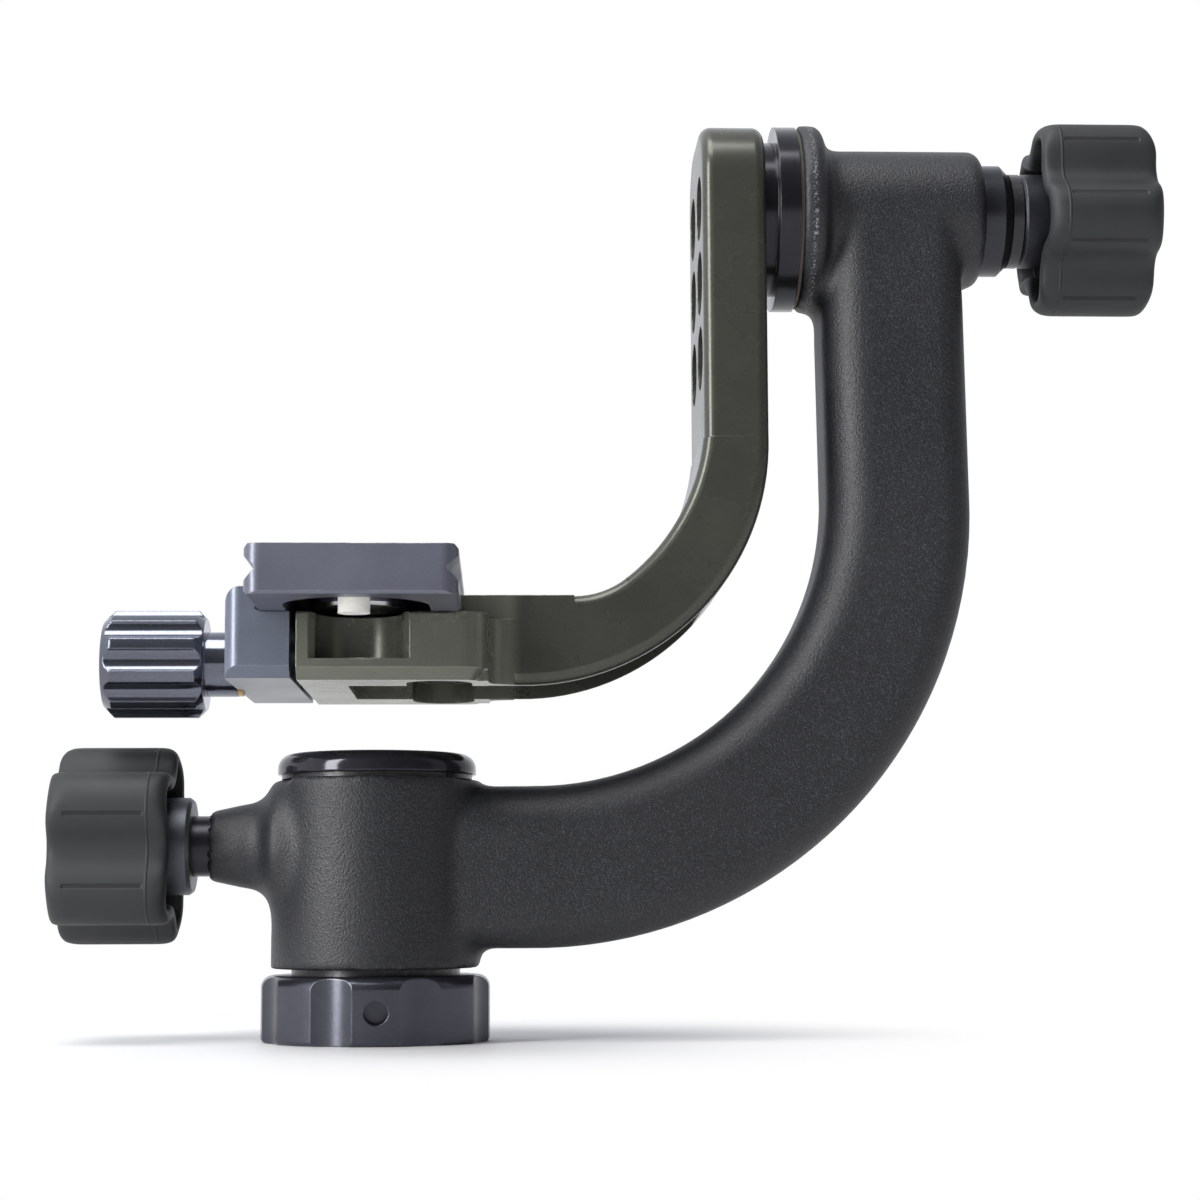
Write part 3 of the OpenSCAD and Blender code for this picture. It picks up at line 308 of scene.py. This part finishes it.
def turned_metal(name, code, rough, rings):
    """Bare turned metal: bright, with rings from the tool and a few dull smudges."""
    made, end = new_material(name)
    where = add(made, "ShaderNodeTexCoord")
    line = lathe_rings(made, *rings)
    cloud = add(made, "ShaderNodeTexNoise", inputs={
        "Vector": where.outputs["Object"], "Scale": 1000 / SMUDGE_MM, "Detail": 4.0})
    dull = add(made, "ShaderNodeMapRange", inputs={
        "Value": cloud.outputs["Fac"], "From Min": 0.35, "From Max": 0.7,
        "To Min": rough, "To Max": rough * 1.5})
    tone = add(made, "ShaderNodeMapRange", inputs={
        "Value": line.outputs["Fac"], "From Min": LOW, "From Max": HIGH,
        "To Min": 0.88, "To Max": 1.0})
    tint = add(made, "ShaderNodeVectorMath", {"operation": "SCALE"}, {
        0: srgb(code)[:3], "Scale": tone.outputs[0]})
    bump = add(made, "ShaderNodeBump", inputs={
        "Height": line.outputs["Fac"], "Strength": 0.4, "Distance": 0.00002})
    skin = add(made, "ShaderNodeBsdfPrincipled", inputs={
        "Base Color": tint.outputs[0], "Metallic": 1.0, "Roughness": dull.outputs[0],
        "Normal": bump.outputs[0]})
    made.node_tree.links.new(skin.outputs[0], end.inputs["Surface"])
    return made


def washer_polymer(name, code, rough):
    """Machined acetal: an even dark plastic with a faint sheen and fine scratches."""
    made, end = new_material(name)
    where = add(made, "ShaderNodeTexCoord")
    scuff = add(made, "ShaderNodeTexNoise", inputs={
        "Vector": where.outputs["Object"], "Scale": 1000 / SCUFF_MM, "Detail": 3.0})
    sheen = add(made, "ShaderNodeMapRange", inputs={
        "Value": scuff.outputs["Fac"], "From Min": LOW, "From Max": HIGH,
        "To Min": rough * 0.8, "To Max": rough * 1.3})
    shade = add(made, "ShaderNodeMapRange", inputs={
        "Value": scuff.outputs["Fac"], "To Min": 0.85, "To Max": 1.15})
    tone = add(made, "ShaderNodeVectorMath", {"operation": "SCALE"}, {
        0: srgb(code)[:3], "Scale": shade.outputs[0]})
    bump = add(made, "ShaderNodeBump", inputs={
        "Height": scuff.outputs["Fac"], "Strength": 0.2, "Distance": 0.00001})
    skin = add(made, "ShaderNodeBsdfPrincipled", inputs={
        "Base Color": tone.outputs[0], "Roughness": sheen.outputs[0], "IOR": 1.48,
        "Normal": bump.outputs[0]})
    made.node_tree.links.new(skin.outputs[0], end.inputs["Surface"])
    return made


dress("pan_spindle", turned_metal("turned stainless steel, pan post", "#b8b8bc", 0.28, PAN_RINGS))
acetal = washer_polymer("black acetal", "#1b1b1e", 0.3)
dress("pan_thrust_washer", acetal)
dress("upper_pan_washer", acetal)
dress("spindle_cap", anodised("gloss black anodised aluminium, cap", "#2c2c31", 0.5, 0.12,
                              edge_mm=0.25, rub=0.15, rings=PAN_RINGS))
dress("cap_screw", anodised("blackened steel, cap screw", "#37373c", 0.8, 0.36, edge_mm=0.15,
                            rub=0.5))


# ---------------------------------------------------------------- main arm
# One aluminium casting: pan housing, bent arm and tilt housing flow into each other with soft
# fillets. Its charcoal powder coat has a fine sandy grain with painted glints in its colour,
# rubbed smooth on some edges.
MERGE = 0.000002  # two micrometres


def copied(node_name, piece_name):
    """A merged copy of a node's mesh, free of the node's own marks."""
    bpy.ops.object.select_all(action="DESELECT")
    source = nodes[node_name]
    source.select_set(True)
    bpy.context.view_layer.objects.active = source
    bpy.ops.object.duplicate()
    piece = bpy.context.object
    piece.name = piece_name
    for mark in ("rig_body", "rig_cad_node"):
        if mark in piece:
            del piece[mark]
    piece.parent = None
    bpy.ops.object.mode_set(mode="EDIT")
    bpy.ops.mesh.select_all(action="SELECT")
    bpy.ops.mesh.remove_doubles(threshold=MERGE)
    bpy.ops.object.mode_set(mode="OBJECT")
    return piece


def finished_by(piece, kind, **settings):
    """Add a modifier with its settings and apply it."""
    step = piece.modifiers.new(kind.lower(), kind)
    for key, value in settings.items():
        setattr(step, key, value)
    bpy.context.view_layer.objects.active = piece
    bpy.ops.object.modifier_apply(modifier=step.name)


def vertex_places(piece):
    """The piece's vertices and edges as arrays."""
    places = np.empty(len(piece.data.vertices) * 3)
    piece.data.vertices.foreach_get("co", places)
    edges = np.empty(len(piece.data.edges) * 2, dtype=int)
    piece.data.edges.foreach_get("vertices", edges)
    return places.reshape(-1, 3), edges.reshape(-1, 2)


def mark_group(piece, name, chosen, weight=1.0):
    """Put the chosen vertices into a vertex group."""
    group = piece.vertex_groups.get(name) or piece.vertex_groups.new(name=name)
    group.add([int(i) for i in np.flatnonzero(chosen)], weight, "REPLACE")


def smooth_shaded(piece):
    """Shade an object smooth."""
    bpy.ops.object.select_all(action="DESELECT")
    piece.select_set(True)
    bpy.context.view_layer.objects.active = piece
    bpy.ops.object.shade_smooth()


# inner corners are where a vertex lies below the middle of its neighbours; the smoothing is full
# there and fades out over the rings of vertices round them
SKIN_MM = 0.65
HOLLOW_MM = 0.06
FILLET_RINGS, FILLET_PASSES = 12, 90
casting = copied("main_arm", "cast_arm")
finished_by(casting, "REMESH", mode="VOXEL", voxel_size=SKIN_MM / 1000)
places, edges = vertex_places(casting)
normals = np.empty(len(places) * 3)
casting.data.vertices.foreach_get("normal", normals)
normals = normals.reshape(-1, 3)
around = np.zeros_like(places)
count = np.zeros(len(places))
for a, b in ((0, 1), (1, 0)):
    np.add.at(around, edges[:, a], places[edges[:, b]])
    np.add.at(count, edges[:, a], 1)
rise = ((around / count[:, None] - places) * normals).sum(1)
hollow = rise > HOLLOW_MM / 1000
mark_group(casting, "fillets", hollow)
for ring in range(FILLET_RINGS):
    spread = hollow.copy()
    spread[edges[hollow[edges[:, 0]], 1]] = True
    spread[edges[hollow[edges[:, 1]], 0]] = True
    mark_group(casting, "fillets", spread & ~hollow, (1 - (ring + 1) / (FILLET_RINGS + 1)) ** 2)
    hollow = spread
finished_by(casting, "SMOOTH", factor=0.5, iterations=FILLET_PASSES, vertex_group="fillets")
# the flare of the neck runs out softly into the round housing, and its bore keeps its size
PAN_LOCK_Z = 0.03785
STUD_BORE_R, WALL_R = 0.0068, 0.0178
FLARE_X, FLARE_END_X, FLARE_REACH, FLARE_R = -0.0178, -0.008, 0.009, 0.0175
FLARE_STEPS, FLARE_PASSES, LAST_PASSES = 10, 70, 3
places, edges = vertex_places(casting)
off_neck = np.hypot(places[:, 1], places[:, 2] - PAN_LOCK_Z)
flare = (np.hypot(places[:, 0], places[:, 1]) > WALL_R) & (off_neck > STUD_BORE_R)
flare &= (off_neck < FLARE_R) & (places[:, 0] < FLARE_END_X)
near = np.clip(1 - np.abs(places[:, 0] - FLARE_X) / FLARE_REACH, 0, 1)
for level in range(1, FLARE_STEPS + 1):
    mark_group(casting, "flare", flare & (near > (level - 1) / FLARE_STEPS), level / FLARE_STEPS)
finished_by(casting, "SMOOTH", factor=0.5, iterations=FLARE_PASSES, vertex_group="flare")
finished_by(casting, "SMOOTH", factor=0.5, iterations=LAST_PASSES)
smooth_shaded(casting)

# a matt dark skin with grains of sand in it, in two sizes of about four tenths of a millimetre
SAND_MM, GRIT_MM = 0.4, 0.4348
COAT_DRIFT_MM = 26.32
coat, out = new_material("charcoal sand-textured powder coat on cast aluminium")
where = add(coat, "ShaderNodeTexCoord")
sand = add(coat, "ShaderNodeTexNoise", inputs={
    "Vector": where.outputs["Object"], "Scale": 1000 / SAND_MM, "Detail": 2.0, "Roughness": 0.6})
grit = add(coat, "ShaderNodeTexVoronoi", {"feature": "F1"}, {
    "Vector": where.outputs["Object"], "Scale": 1000 / GRIT_MM, "Randomness": 1.0})
heap = add(coat, "ShaderNodeMath", {"operation": "SUBTRACT"}, {
    0: sand.outputs["Fac"], 1: grit.outputs["Distance"]})
cloud = add(coat, "ShaderNodeTexNoise", inputs={
    "Vector": where.outputs["Object"], "Scale": 1000 / COAT_DRIFT_MM, "Detail": 5.0,
    "Roughness": 0.6})
tone = add(coat, "ShaderNodeMapRange", inputs={
    "Value": cloud.outputs["Fac"], "From Min": LOW, "From Max": HIGH,
    "To Min": 0.88, "To Max": 1.14})
# painted glints: a few grains are painted several times brighter than the coat, as if they caught
# the light
FACET_MM, PAINTED_GLINT_GAIN = 0.2941, 3.4
facet = add(coat, "ShaderNodeTexNoise", inputs={
    "Vector": where.outputs["Object"], "Scale": 1000 / FACET_MM, "Detail": 1.0})
painted_glint = add(coat, "ShaderNodeMapRange", inputs={
    "Value": facet.outputs["Fac"], "From Min": 0.54, "From Max": HIGH,
    "To Min": 0.0, "To Max": PAINTED_GLINT_GAIN})
bright = add(coat, "ShaderNodeMath", {"operation": "ADD"}, {
    0: tone.outputs[0], 1: painted_glint.outputs[0]})
paint = add(coat, "ShaderNodeVectorMath", {"operation": "SCALE"}, {
    0: srgb("#141518")[:3], "Scale": bright.outputs[0]})
# the coat rounds every edge, and is rubbed thin there in patches
COAT_EDGE, COAT_CHIP_MM = 0.0012, 6.25
edge = add(coat, "ShaderNodeBevel", {"samples": 6}, {"Radius": COAT_EDGE})
face = add(coat, "ShaderNodeNewGeometry")
same = add(coat, "ShaderNodeVectorMath", {"operation": "DOT_PRODUCT"}, {
    0: edge.outputs[0], 1: face.outputs["Normal"]})
ridge = add(coat, "ShaderNodeMapRange", inputs={
    "Value": same.outputs["Value"], "From Min": 0.99, "From Max": 0.9})
patch = add(coat, "ShaderNodeTexNoise", inputs={
    "Vector": where.outputs["Object"], "Scale": 1000 / COAT_CHIP_MM, "Detail": 5.0})
worn = add(coat, "ShaderNodeMapRange", inputs={
    "Value": patch.outputs["Fac"], "From Min": 0.5, "From Max": 0.66, "To Max": 0.4})
bare = add(coat, "ShaderNodeMath", {"operation": "MULTIPLY"}, {
    0: ridge.outputs[0], 1: worn.outputs[0]})
# the sharp rim of the flange has rubbed through in spots
TILT_Z = 0.1644
RIM_X, RIM_R, RIM_REACH = 0.0861, 0.0185, 0.003
RIM_FADE, RIM_HALF = 0.0008, 0.0002
split = add(coat, "ShaderNodeSeparateXYZ", inputs={0: where.outputs["Object"]})
level = add(coat, "ShaderNodeMath", {"operation": "SUBTRACT"}, {0: split.outputs["Z"], 1: TILT_Z})
across = add(coat, "ShaderNodeCombineXYZ", inputs={
    "X": level.outputs[0], "Y": split.outputs["Y"], "Z": 0.0})
radius = add(coat, "ShaderNodeVectorMath", {"operation": "LENGTH"}, {0: across.outputs[0]})
off_rim = add(coat, "ShaderNodeMath", {"operation": "SUBTRACT"}, {
    0: radius.outputs["Value"], 1: RIM_R})
outer = add(coat, "ShaderNodeMath", {"operation": "COMPARE"}, {
    0: off_rim.outputs[0], 1: 0.0, 2: RIM_REACH})
beside = add(coat, "ShaderNodeMath", {"operation": "SUBTRACT"}, {0: split.outputs["X"], 1: RIM_X})
aside = add(coat, "ShaderNodeMath", {"operation": "ABSOLUTE"}, {0: beside.outputs[0]})
band = add(coat, "ShaderNodeMapRange", inputs={
    "Value": aside.outputs[0], "From Min": RIM_FADE, "From Max": RIM_HALF})
chips = add(coat, "ShaderNodeMapRange", inputs={
    "Value": sand.outputs["Fac"], "From Min": 0.52, "From Max": 0.66, "To Max": 0.7})
rim = add(coat, "ShaderNodeMath", {"operation": "MULTIPLY"}, {
    0: band.outputs[0], 1: outer.outputs[0]})
rubbed = add(coat, "ShaderNodeMath", {"operation": "MULTIPLY_ADD", "use_clamp": True}, {
    0: rim.outputs[0], 1: chips.outputs[0], 2: bare.outputs[0]})
colour = add(coat, "ShaderNodeMix", {"data_type": "RGBA"}, {
    0: rubbed.outputs[0], 6: paint.outputs[0], 7: srgb("#8d8f93")})
matt = add(coat, "ShaderNodeMapRange", inputs={
    "Value": cloud.outputs["Fac"], "From Min": LOW, "From Max": HIGH,
    "To Min": 0.44, "To Max": 0.54})
bump = add(coat, "ShaderNodeBump", inputs={
    "Height": heap.outputs[0], "Strength": 0.6, "Distance": 0.0001, "Normal": edge.outputs[0]})
skin = add(coat, "ShaderNodeBsdfPrincipled", inputs={
    "Base Color": colour.outputs[2], "Roughness": matt.outputs[0], "IOR": 1.5,
    "Normal": bump.outputs[0]})
coat.node_tree.links.new(skin.outputs[0], out.inputs["Surface"])
cover(casting, coat)
dress("main_arm", coat)
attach(casting, "arm")
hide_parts("main_arm")


# ---------------------------------------------------------------- bushes and tilt collar
# Plain brass bushes are pressed into both housings, and a black turned collar closes the outer end
# of the tilt housing. A dark fibre washer lies behind the flange of the tilt shaft.
BRASS = "#b08d57"
TILT_RINGS = ("X", TILT_Z, RING_MM)
for name, rings in (("pan_bush_lower", PAN_RINGS), ("pan_bush_upper", PAN_RINGS),
                    ("tilt_bush_inner", TILT_RINGS), ("tilt_bush_outer", TILT_RINGS)):
    dress(name, turned_metal("turned brass, " + name.replace("_", " "), BRASS, 0.3, rings))
dress("tilt_collar", anodised("satin black anodised aluminium, collar", "#34353a", 0.7, 0.3,
                              edge_mm=0.3, rub=0.35, rings=TILT_RINGS))
dress("tilt_thrust_washer", washer_polymer("brown fibre sheet", "#4b463c", 0.6))


# ---------------------------------------------------------------- pan lock
# A brass shoe presses on the post, driven by a stud in the neck of the casting. The knob is a
# turned hub with a hollow five-lobed grip moulded over it in dark grey rubber, soft at every edge.
dress("pan_brake_shoe", turned_metal("turned brass, brake shoe", BRASS, 0.32,
                                     ("X", PAN_LOCK_Z, RING_MM)))
STUD_RING_MM = 0.5
dress("pan_lock_stud", anodised("blackened steel, pan stud", "#2b2b30", 0.7, 0.3,
                                rings=("X", PAN_LOCK_Z, STUD_RING_MM)))
# painted light: the same hub as the tilt lock's, with its colour painted lighter; its rubbed specks
# are wear
dress("pan_lock_hub", anodised("blasted steel, pan hub, worn and painted lighter", "#585a5f", 0.85, 0.42,
                               grain_mm=0.35, edge_mm=0.3, rub=0.8))

GRIP_SKIN_MM, GRIP_PASSES = 0.5, 45
CORE_R = 0.0115
SWELL, SWELL_OVER = 0.016, 0.004


def moulded_grip(node_name, piece_name, height):
    """The grip with every edge softened as rubber leaves the mould; its bore keeps its size."""
    piece = copied(node_name, piece_name)
    finished_by(piece, "REMESH", mode="VOXEL", voxel_size=GRIP_SKIN_MM / 1000)
    places, _ = vertex_places(piece)
    off_axis = np.hypot(places[:, 1], places[:, 2] - height)
    mark_group(piece, "outside", off_axis > CORE_R)
    finished_by(piece, "SMOOTH", factor=0.5, iterations=GRIP_PASSES, vertex_group="outside")
    # smoothing draws the lobes in by a third of a millimetre, which this gives back
    places, _ = vertex_places(piece)
    off_axis = np.hypot(places[:, 1], places[:, 2] - height)
    swell = 1 + SWELL * np.clip((off_axis - CORE_R) / SWELL_OVER, 0, 1)
    places[:, 1] *= swell
    places[:, 2] = height + (places[:, 2] - height) * swell
    piece.data.vertices.foreach_set("co", places.ravel())
    piece.data.update()
    smooth_shaded(piece)
    return piece


LOBES = 5
LINE_ANGLE = math.radians(14.5)  # each line from the middle of its lobe
LINE_FADE, LINE_HALF = 0.026, 0.014  # radians
LINE_END = 0.0004
SEAM_FADE, SEAM_HALF = 0.0003, 0.0001
GATE_FADE, GATE_R = 0.0012, 0.0005
RUBBER_GRAIN_MM, DUST_MM = 0.3125, 14.29


def moulded_rubber(name, height, up, turn, from_x, to_x, seam_x, gate):
    """Dark grey rubber: fine grain, two thin lines on each lobe, a mould seam and a gate mark."""
    made, end = new_material(name)
    where = add(made, "ShaderNodeTexCoord")
    split = add(made, "ShaderNodeSeparateXYZ", inputs={0: where.outputs["Object"]})
    level = add(made, "ShaderNodeMath", {"operation": "SUBTRACT"}, {
        0: split.outputs["Z"], 1: height})
    facing = add(made, "ShaderNodeMath", {"operation": "MULTIPLY"}, {0: level.outputs[0], 1: up})
    angle = add(made, "ShaderNodeMath", {"operation": "ARCTAN2"}, {
        0: split.outputs["Y"], 1: facing.outputs[0]})
    # the angle from the middle of the nearest lobe, then from the lines beside it
    lobe = 2 * math.pi / LOBES
    shifted = add(made, "ShaderNodeMath", {"operation": "SUBTRACT"}, {
        0: angle.outputs[0], 1: turn})
    folded = add(made, "ShaderNodeMath", {"operation": "PINGPONG"}, {
        0: shifted.outputs[0], 1: lobe / 2})
    aside = add(made, "ShaderNodeMath", {"operation": "SUBTRACT"}, {
        0: folded.outputs[0], 1: LINE_ANGLE})
    off_line = add(made, "ShaderNodeMath", {"operation": "ABSOLUTE"}, {0: aside.outputs[0]})
    stripe = add(made, "ShaderNodeMapRange", inputs={
        "Value": off_line.outputs[0], "From Min": LINE_FADE, "From Max": LINE_HALF})
    off_mid = add(made, "ShaderNodeMath", {"operation": "SUBTRACT"}, {
        0: split.outputs["X"], 1: (from_x + to_x) / 2})
    off_end = add(made, "ShaderNodeMath", {"operation": "ABSOLUTE"}, {0: off_mid.outputs[0]})
    half = abs(to_x - from_x) / 2
    ends = add(made, "ShaderNodeMapRange", inputs={
        "Value": off_end.outputs[0], "From Min": half, "From Max": half - LINE_END})
    line = add(made, "ShaderNodeMath", {"operation": "MULTIPLY"}, {
        0: stripe.outputs[0], 1: ends.outputs[0]})
    grain = add(made, "ShaderNodeTexNoise", inputs={
        "Vector": where.outputs["Object"], "Scale": 1000 / RUBBER_GRAIN_MM, "Detail": 3.0})
    cloud = add(made, "ShaderNodeTexNoise", inputs={
        "Vector": where.outputs["Object"], "Scale": 1000 / DUST_MM, "Detail": 5.0,
        "Roughness": 0.6})
    tone = add(made, "ShaderNodeMapRange", inputs={
        "Value": cloud.outputs["Fac"], "From Min": LOW, "From Max": HIGH,
        "To Min": 0.88, "To Max": 1.14})
    dust = add(made, "ShaderNodeVectorMath", {"operation": "SCALE"}, {
        0: srgb("#1d1f20")[:3], "Scale": tone.outputs[0]})
    past = add(made, "ShaderNodeMath", {"operation": "SUBTRACT"}, {
        0: split.outputs["X"], 1: seam_x})
    beside = add(made, "ShaderNodeMath", {"operation": "ABSOLUTE"}, {0: past.outputs[0]})
    seam = add(made, "ShaderNodeMapRange", inputs={
        "Value": beside.outputs[0], "From Min": SEAM_FADE, "From Max": SEAM_HALF})
    to_gate = add(made, "ShaderNodeVectorMath", {"operation": "DISTANCE"}, {
        0: where.outputs["Object"], 1: gate})
    mark = add(made, "ShaderNodeMapRange", {"interpolation_type": "SMOOTHSTEP"}, {
        "Value": to_gate.outputs["Value"], "From Min": GATE_FADE, "From Max": GATE_R})
    sunk_marks_and_shade = add(made, "ShaderNodeMath", {"operation": "ADD"}, {
        0: line.outputs[0], 1: mark.outputs[0]})
    # painted shade: the sunk lines and the gate mark are coloured near black
    colour = add(made, "ShaderNodeMix", {"data_type": "RGBA"}, {
        0: sunk_marks_and_shade.outputs[0], 6: dust.outputs[0], 7: srgb("#060606")})
    # the seam stands up, the lines and the gate mark are sunk, and the grain is a twelfth of that
    raised = add(made, "ShaderNodeMath", {"operation": "SUBTRACT"}, {
        0: seam.outputs[0], 1: sunk_marks_and_shade.outputs[0]})
    relief = add(made, "ShaderNodeMath", {"operation": "MULTIPLY_ADD"}, {
        0: grain.outputs["Fac"], 1: 0.08, 2: raised.outputs[0]})
    bump = add(made, "ShaderNodeBump", inputs={
        "Height": relief.outputs[0], "Strength": 0.6, "Distance": 0.00025})
    matt = add(made, "ShaderNodeMapRange", inputs={
        "Value": cloud.outputs["Fac"], "From Min": LOW, "From Max": HIGH,
        "To Min": 0.55, "To Max": 0.68})
    skin = add(made, "ShaderNodeBsdfPrincipled", inputs={
        "Base Color": colour.outputs[2], "Roughness": matt.outputs[0], "IOR": 1.5,
        "Normal": bump.outputs[0]})
    made.node_tree.links.new(skin.outputs[0], end.inputs["Surface"])
    return made


# from the grip's closed top, and from its open rim
LINE_FROM_TOP, LINE_FROM_RIM, SEAM_FROM_RIM = 0.0034, 0.0045, 0.0040
LEFT_TURN = math.radians(14.7)
LEFT_GATE = (-0.0493, -0.0196, 0.0372)
low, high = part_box("pan_lock_grip")
left_rubber = moulded_rubber("moulded grey rubber, left grip", PAN_LOCK_Z, 1.0, LEFT_TURN,
                             low.x + LINE_FROM_TOP, high.x - LINE_FROM_RIM,
                             high.x - SEAM_FROM_RIM, LEFT_GATE)
left_grip = moulded_grip("pan_lock_grip", "left_grip", PAN_LOCK_Z)
cover(left_grip, left_rubber)
dress("pan_lock_grip", left_rubber)
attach(left_grip, "pan_lock")
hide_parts("pan_lock_grip")


# ---------------------------------------------------------------- swing arm
# Milled from one aluminium bar: upright with six pockets, bend, foot and fixed clamp jaw. Bead
# blasted and anodised olive bronze, with thin bright edges; the clamp block's colour is painted
# lighter, as painted light on its front. Two ground steel pins in its foot guide the movable jaw.
# the clamp block, up to BLOCK_X, is painted 2.4 times lighter as painted light
BLOCK_X, BLOCK_END_X, BLOCK_PAINTED_LIGHT = 0.0255, 0.0285, 2.4
PIN_Z = 0.0746
dress("swing_arm", anodised("bead-blasted bronze anodised aluminium", "#44453e", 0.45, 0.27,
                            grain_mm=0.22, edge_mm=0.3, rub=0.5,
                            painted_light=(BLOCK_X, BLOCK_END_X, BLOCK_PAINTED_LIGHT)))
dress("jaw_guide_pins", turned_metal("ground steel, guide pins", "#b0b0b4", 0.2,
                                     ("X", PIN_Z, RING_MM)))


# ---------------------------------------------------------------- tilt shaft
# A turned shaft with a round flange and pad that two socket screws hold to the swing arm. It is
# anodised gloss black, so its rims show long soft reflections of the tent.
dress("tilt_shaft", anodised("gloss black anodised aluminium, shaft", "#2a2a2f", 0.7, 0.2,
                             edge_mm=0.3, rub=0.3, rings=TILT_RINGS))
dress("arm_screws", anodised("blackened steel, socket screws", "#5a5a60", 0.9, 0.32,
                             edge_mm=0.15, rub=0.5))


# ---------------------------------------------------------------- tilt lock
# The same kind of knob at the outer end of the shaft, on a black washer.
dress("tilt_lock_washer", acetal)
# painted shade: the same hub as the pan lock's, with its colour painted darker
dress("tilt_lock_hub", anodised("blasted steel, tilt hub, painted darker", "#33343a", 0.85, 0.42, grain_mm=0.35,
                                edge_mm=0.3, rub=0.5))
RIGHT_TURN = math.radians(-78.8)
RIGHT_GATE = (0.1430, 0.0179, 0.1561)
low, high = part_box("tilt_lock_grip")
right_rubber = moulded_rubber("moulded grey rubber, right grip", TILT_Z, -1.0, RIGHT_TURN,
                              low.x + LINE_FROM_RIM, high.x - LINE_FROM_TOP,
                              low.x + SEAM_FROM_RIM, RIGHT_GATE)
right_grip = moulded_grip("tilt_lock_grip", "right_grip", TILT_Z)
cover(right_grip, right_rubber)
dress("tilt_lock_grip", right_rubber)
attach(right_grip, "tilt_lock")
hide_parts("tilt_lock_grip")


# ---------------------------------------------------------------- clamp
# The movable jaw is milled aluminium in satin blue-grey, drawn in by a steel screw. Its fluted knob
# is anodised gloss blue-black and turns on a brass washer; a steel ring keeps the screw in the jaw.
SCREW_Z = 0.0736
SCREW_RINGS = ("X", SCREW_Z, RING_MM)
dress("clamp_jaw", anodised("satin blue-grey anodised aluminium", "#646976", 0.5, 0.34,
                            grain_mm=0.25, edge_mm=0.3, rub=0.7))
dress("clamp_knob", anodised("gloss blue-black anodised aluminium", "#686b76", 0.95, 0.1,
                             edge_mm=0.5, rub=0.15, rings=SCREW_RINGS))
dress("clamp_washer", turned_metal("turned brass, clamp washer", BRASS, 0.25, SCREW_RINGS))
dress("jaw_circlip", turned_metal("spring steel", "#6c6c70", 0.35, SCREW_RINGS))
dress("clamp_screw", turned_metal("turned stainless steel, clamp screw", "#b8b8bc", 0.26,
                                  ("X", SCREW_Z, STUD_RING_MM)))


# ---------------------------------------------------------------- quick-release plate
# A milled dovetail plate in satin violet-grey anodising, with two ribbed rubber strips on top, a
# stop screw under its front end painted white as a painted reflection, and a stainless camera
# screw in the middle slot.
dress("quick_release_plate", anodised("satin violet-grey anodised aluminium", "#60616e", 0.45, 0.34,
                                      grain_mm=0.22, edge_mm=0.3, rub=0.6))

# dull rubber with ribs across the plate, and dust in them
WAVE = 2 * math.pi / 20  # the length of one wave at scale 1
RIB_MM, DIRT_MM = 2.0, 2.0
strip, out = new_material("black ribbed rubber strip")
where = add(strip, "ShaderNodeTexCoord")
ribs = add(strip, "ShaderNodeTexWave", {"bands_direction": "Y", "wave_profile": "SIN"}, {
    "Vector": where.outputs["Object"], "Scale": WAVE * 1000 / RIB_MM, "Distortion": 0.0})
dirt = add(strip, "ShaderNodeTexNoise", inputs={
    "Vector": where.outputs["Object"], "Scale": 1000 / DIRT_MM, "Detail": 4.0})
shade = add(strip, "ShaderNodeMapRange", inputs={
    "Value": dirt.outputs["Fac"], "To Min": 0.7, "To Max": 1.5})
tone = add(strip, "ShaderNodeVectorMath", {"operation": "SCALE"}, {
    0: srgb("#1c1c1e")[:3], "Scale": shade.outputs[0]})
bump = add(strip, "ShaderNodeBump", inputs={
    "Height": ribs.outputs["Fac"], "Strength": 0.7, "Distance": 0.0003})
skin = add(strip, "ShaderNodeBsdfPrincipled", inputs={
    "Base Color": tone.outputs[0], "Roughness": 0.7, "IOR": 1.5, "Normal": bump.outputs[0]})
strip.node_tree.links.new(skin.outputs[0], out.inputs["Surface"])
dress("plate_grip_pads", strip)

# painted reflection: the stop screw is drawn as plain white plastic, standing in for the white
# glare on it
dress("plate_stop_screw", washer_polymer("stop screw painted white for its glare", "#e4e2dc", 0.4))

# bright ridges with roots painted dark as shade; they lie twice as far apart as the real thread's,
# 1.27 mm
RIDGE_MM = 2.54
thread, out = new_material("stainless steel with a rolled 1/4 inch thread")
where = add(thread, "ShaderNodeTexCoord")
turns = add(thread, "ShaderNodeTexWave", {"bands_direction": "Z", "wave_profile": "TRI"}, {
    "Vector": where.outputs["Object"], "Scale": WAVE * 1000 / RIDGE_MM, "Distortion": 0.0})
# painted shade: the colour falls to 0.45 of the steel's in the thread's roots
shade = add(thread, "ShaderNodeMapRange", inputs={
    "Value": turns.outputs["Fac"], "To Min": 0.45, "To Max": 1.0})
tint = add(thread, "ShaderNodeVectorMath", {"operation": "SCALE"}, {
    0: srgb("#bdbdc0")[:3], "Scale": shade.outputs[0]})
bump = add(thread, "ShaderNodeBump", inputs={
    "Height": turns.outputs["Fac"], "Strength": 0.9, "Distance": 0.0005})
skin = add(thread, "ShaderNodeBsdfPrincipled", inputs={
    "Base Color": tint.outputs[0], "Metallic": 1.0, "Roughness": 0.25, "Normal": bump.outputs[0]})
thread.node_tree.links.new(skin.outputs[0], out.inputs["Surface"])
dress("camera_screw", thread)
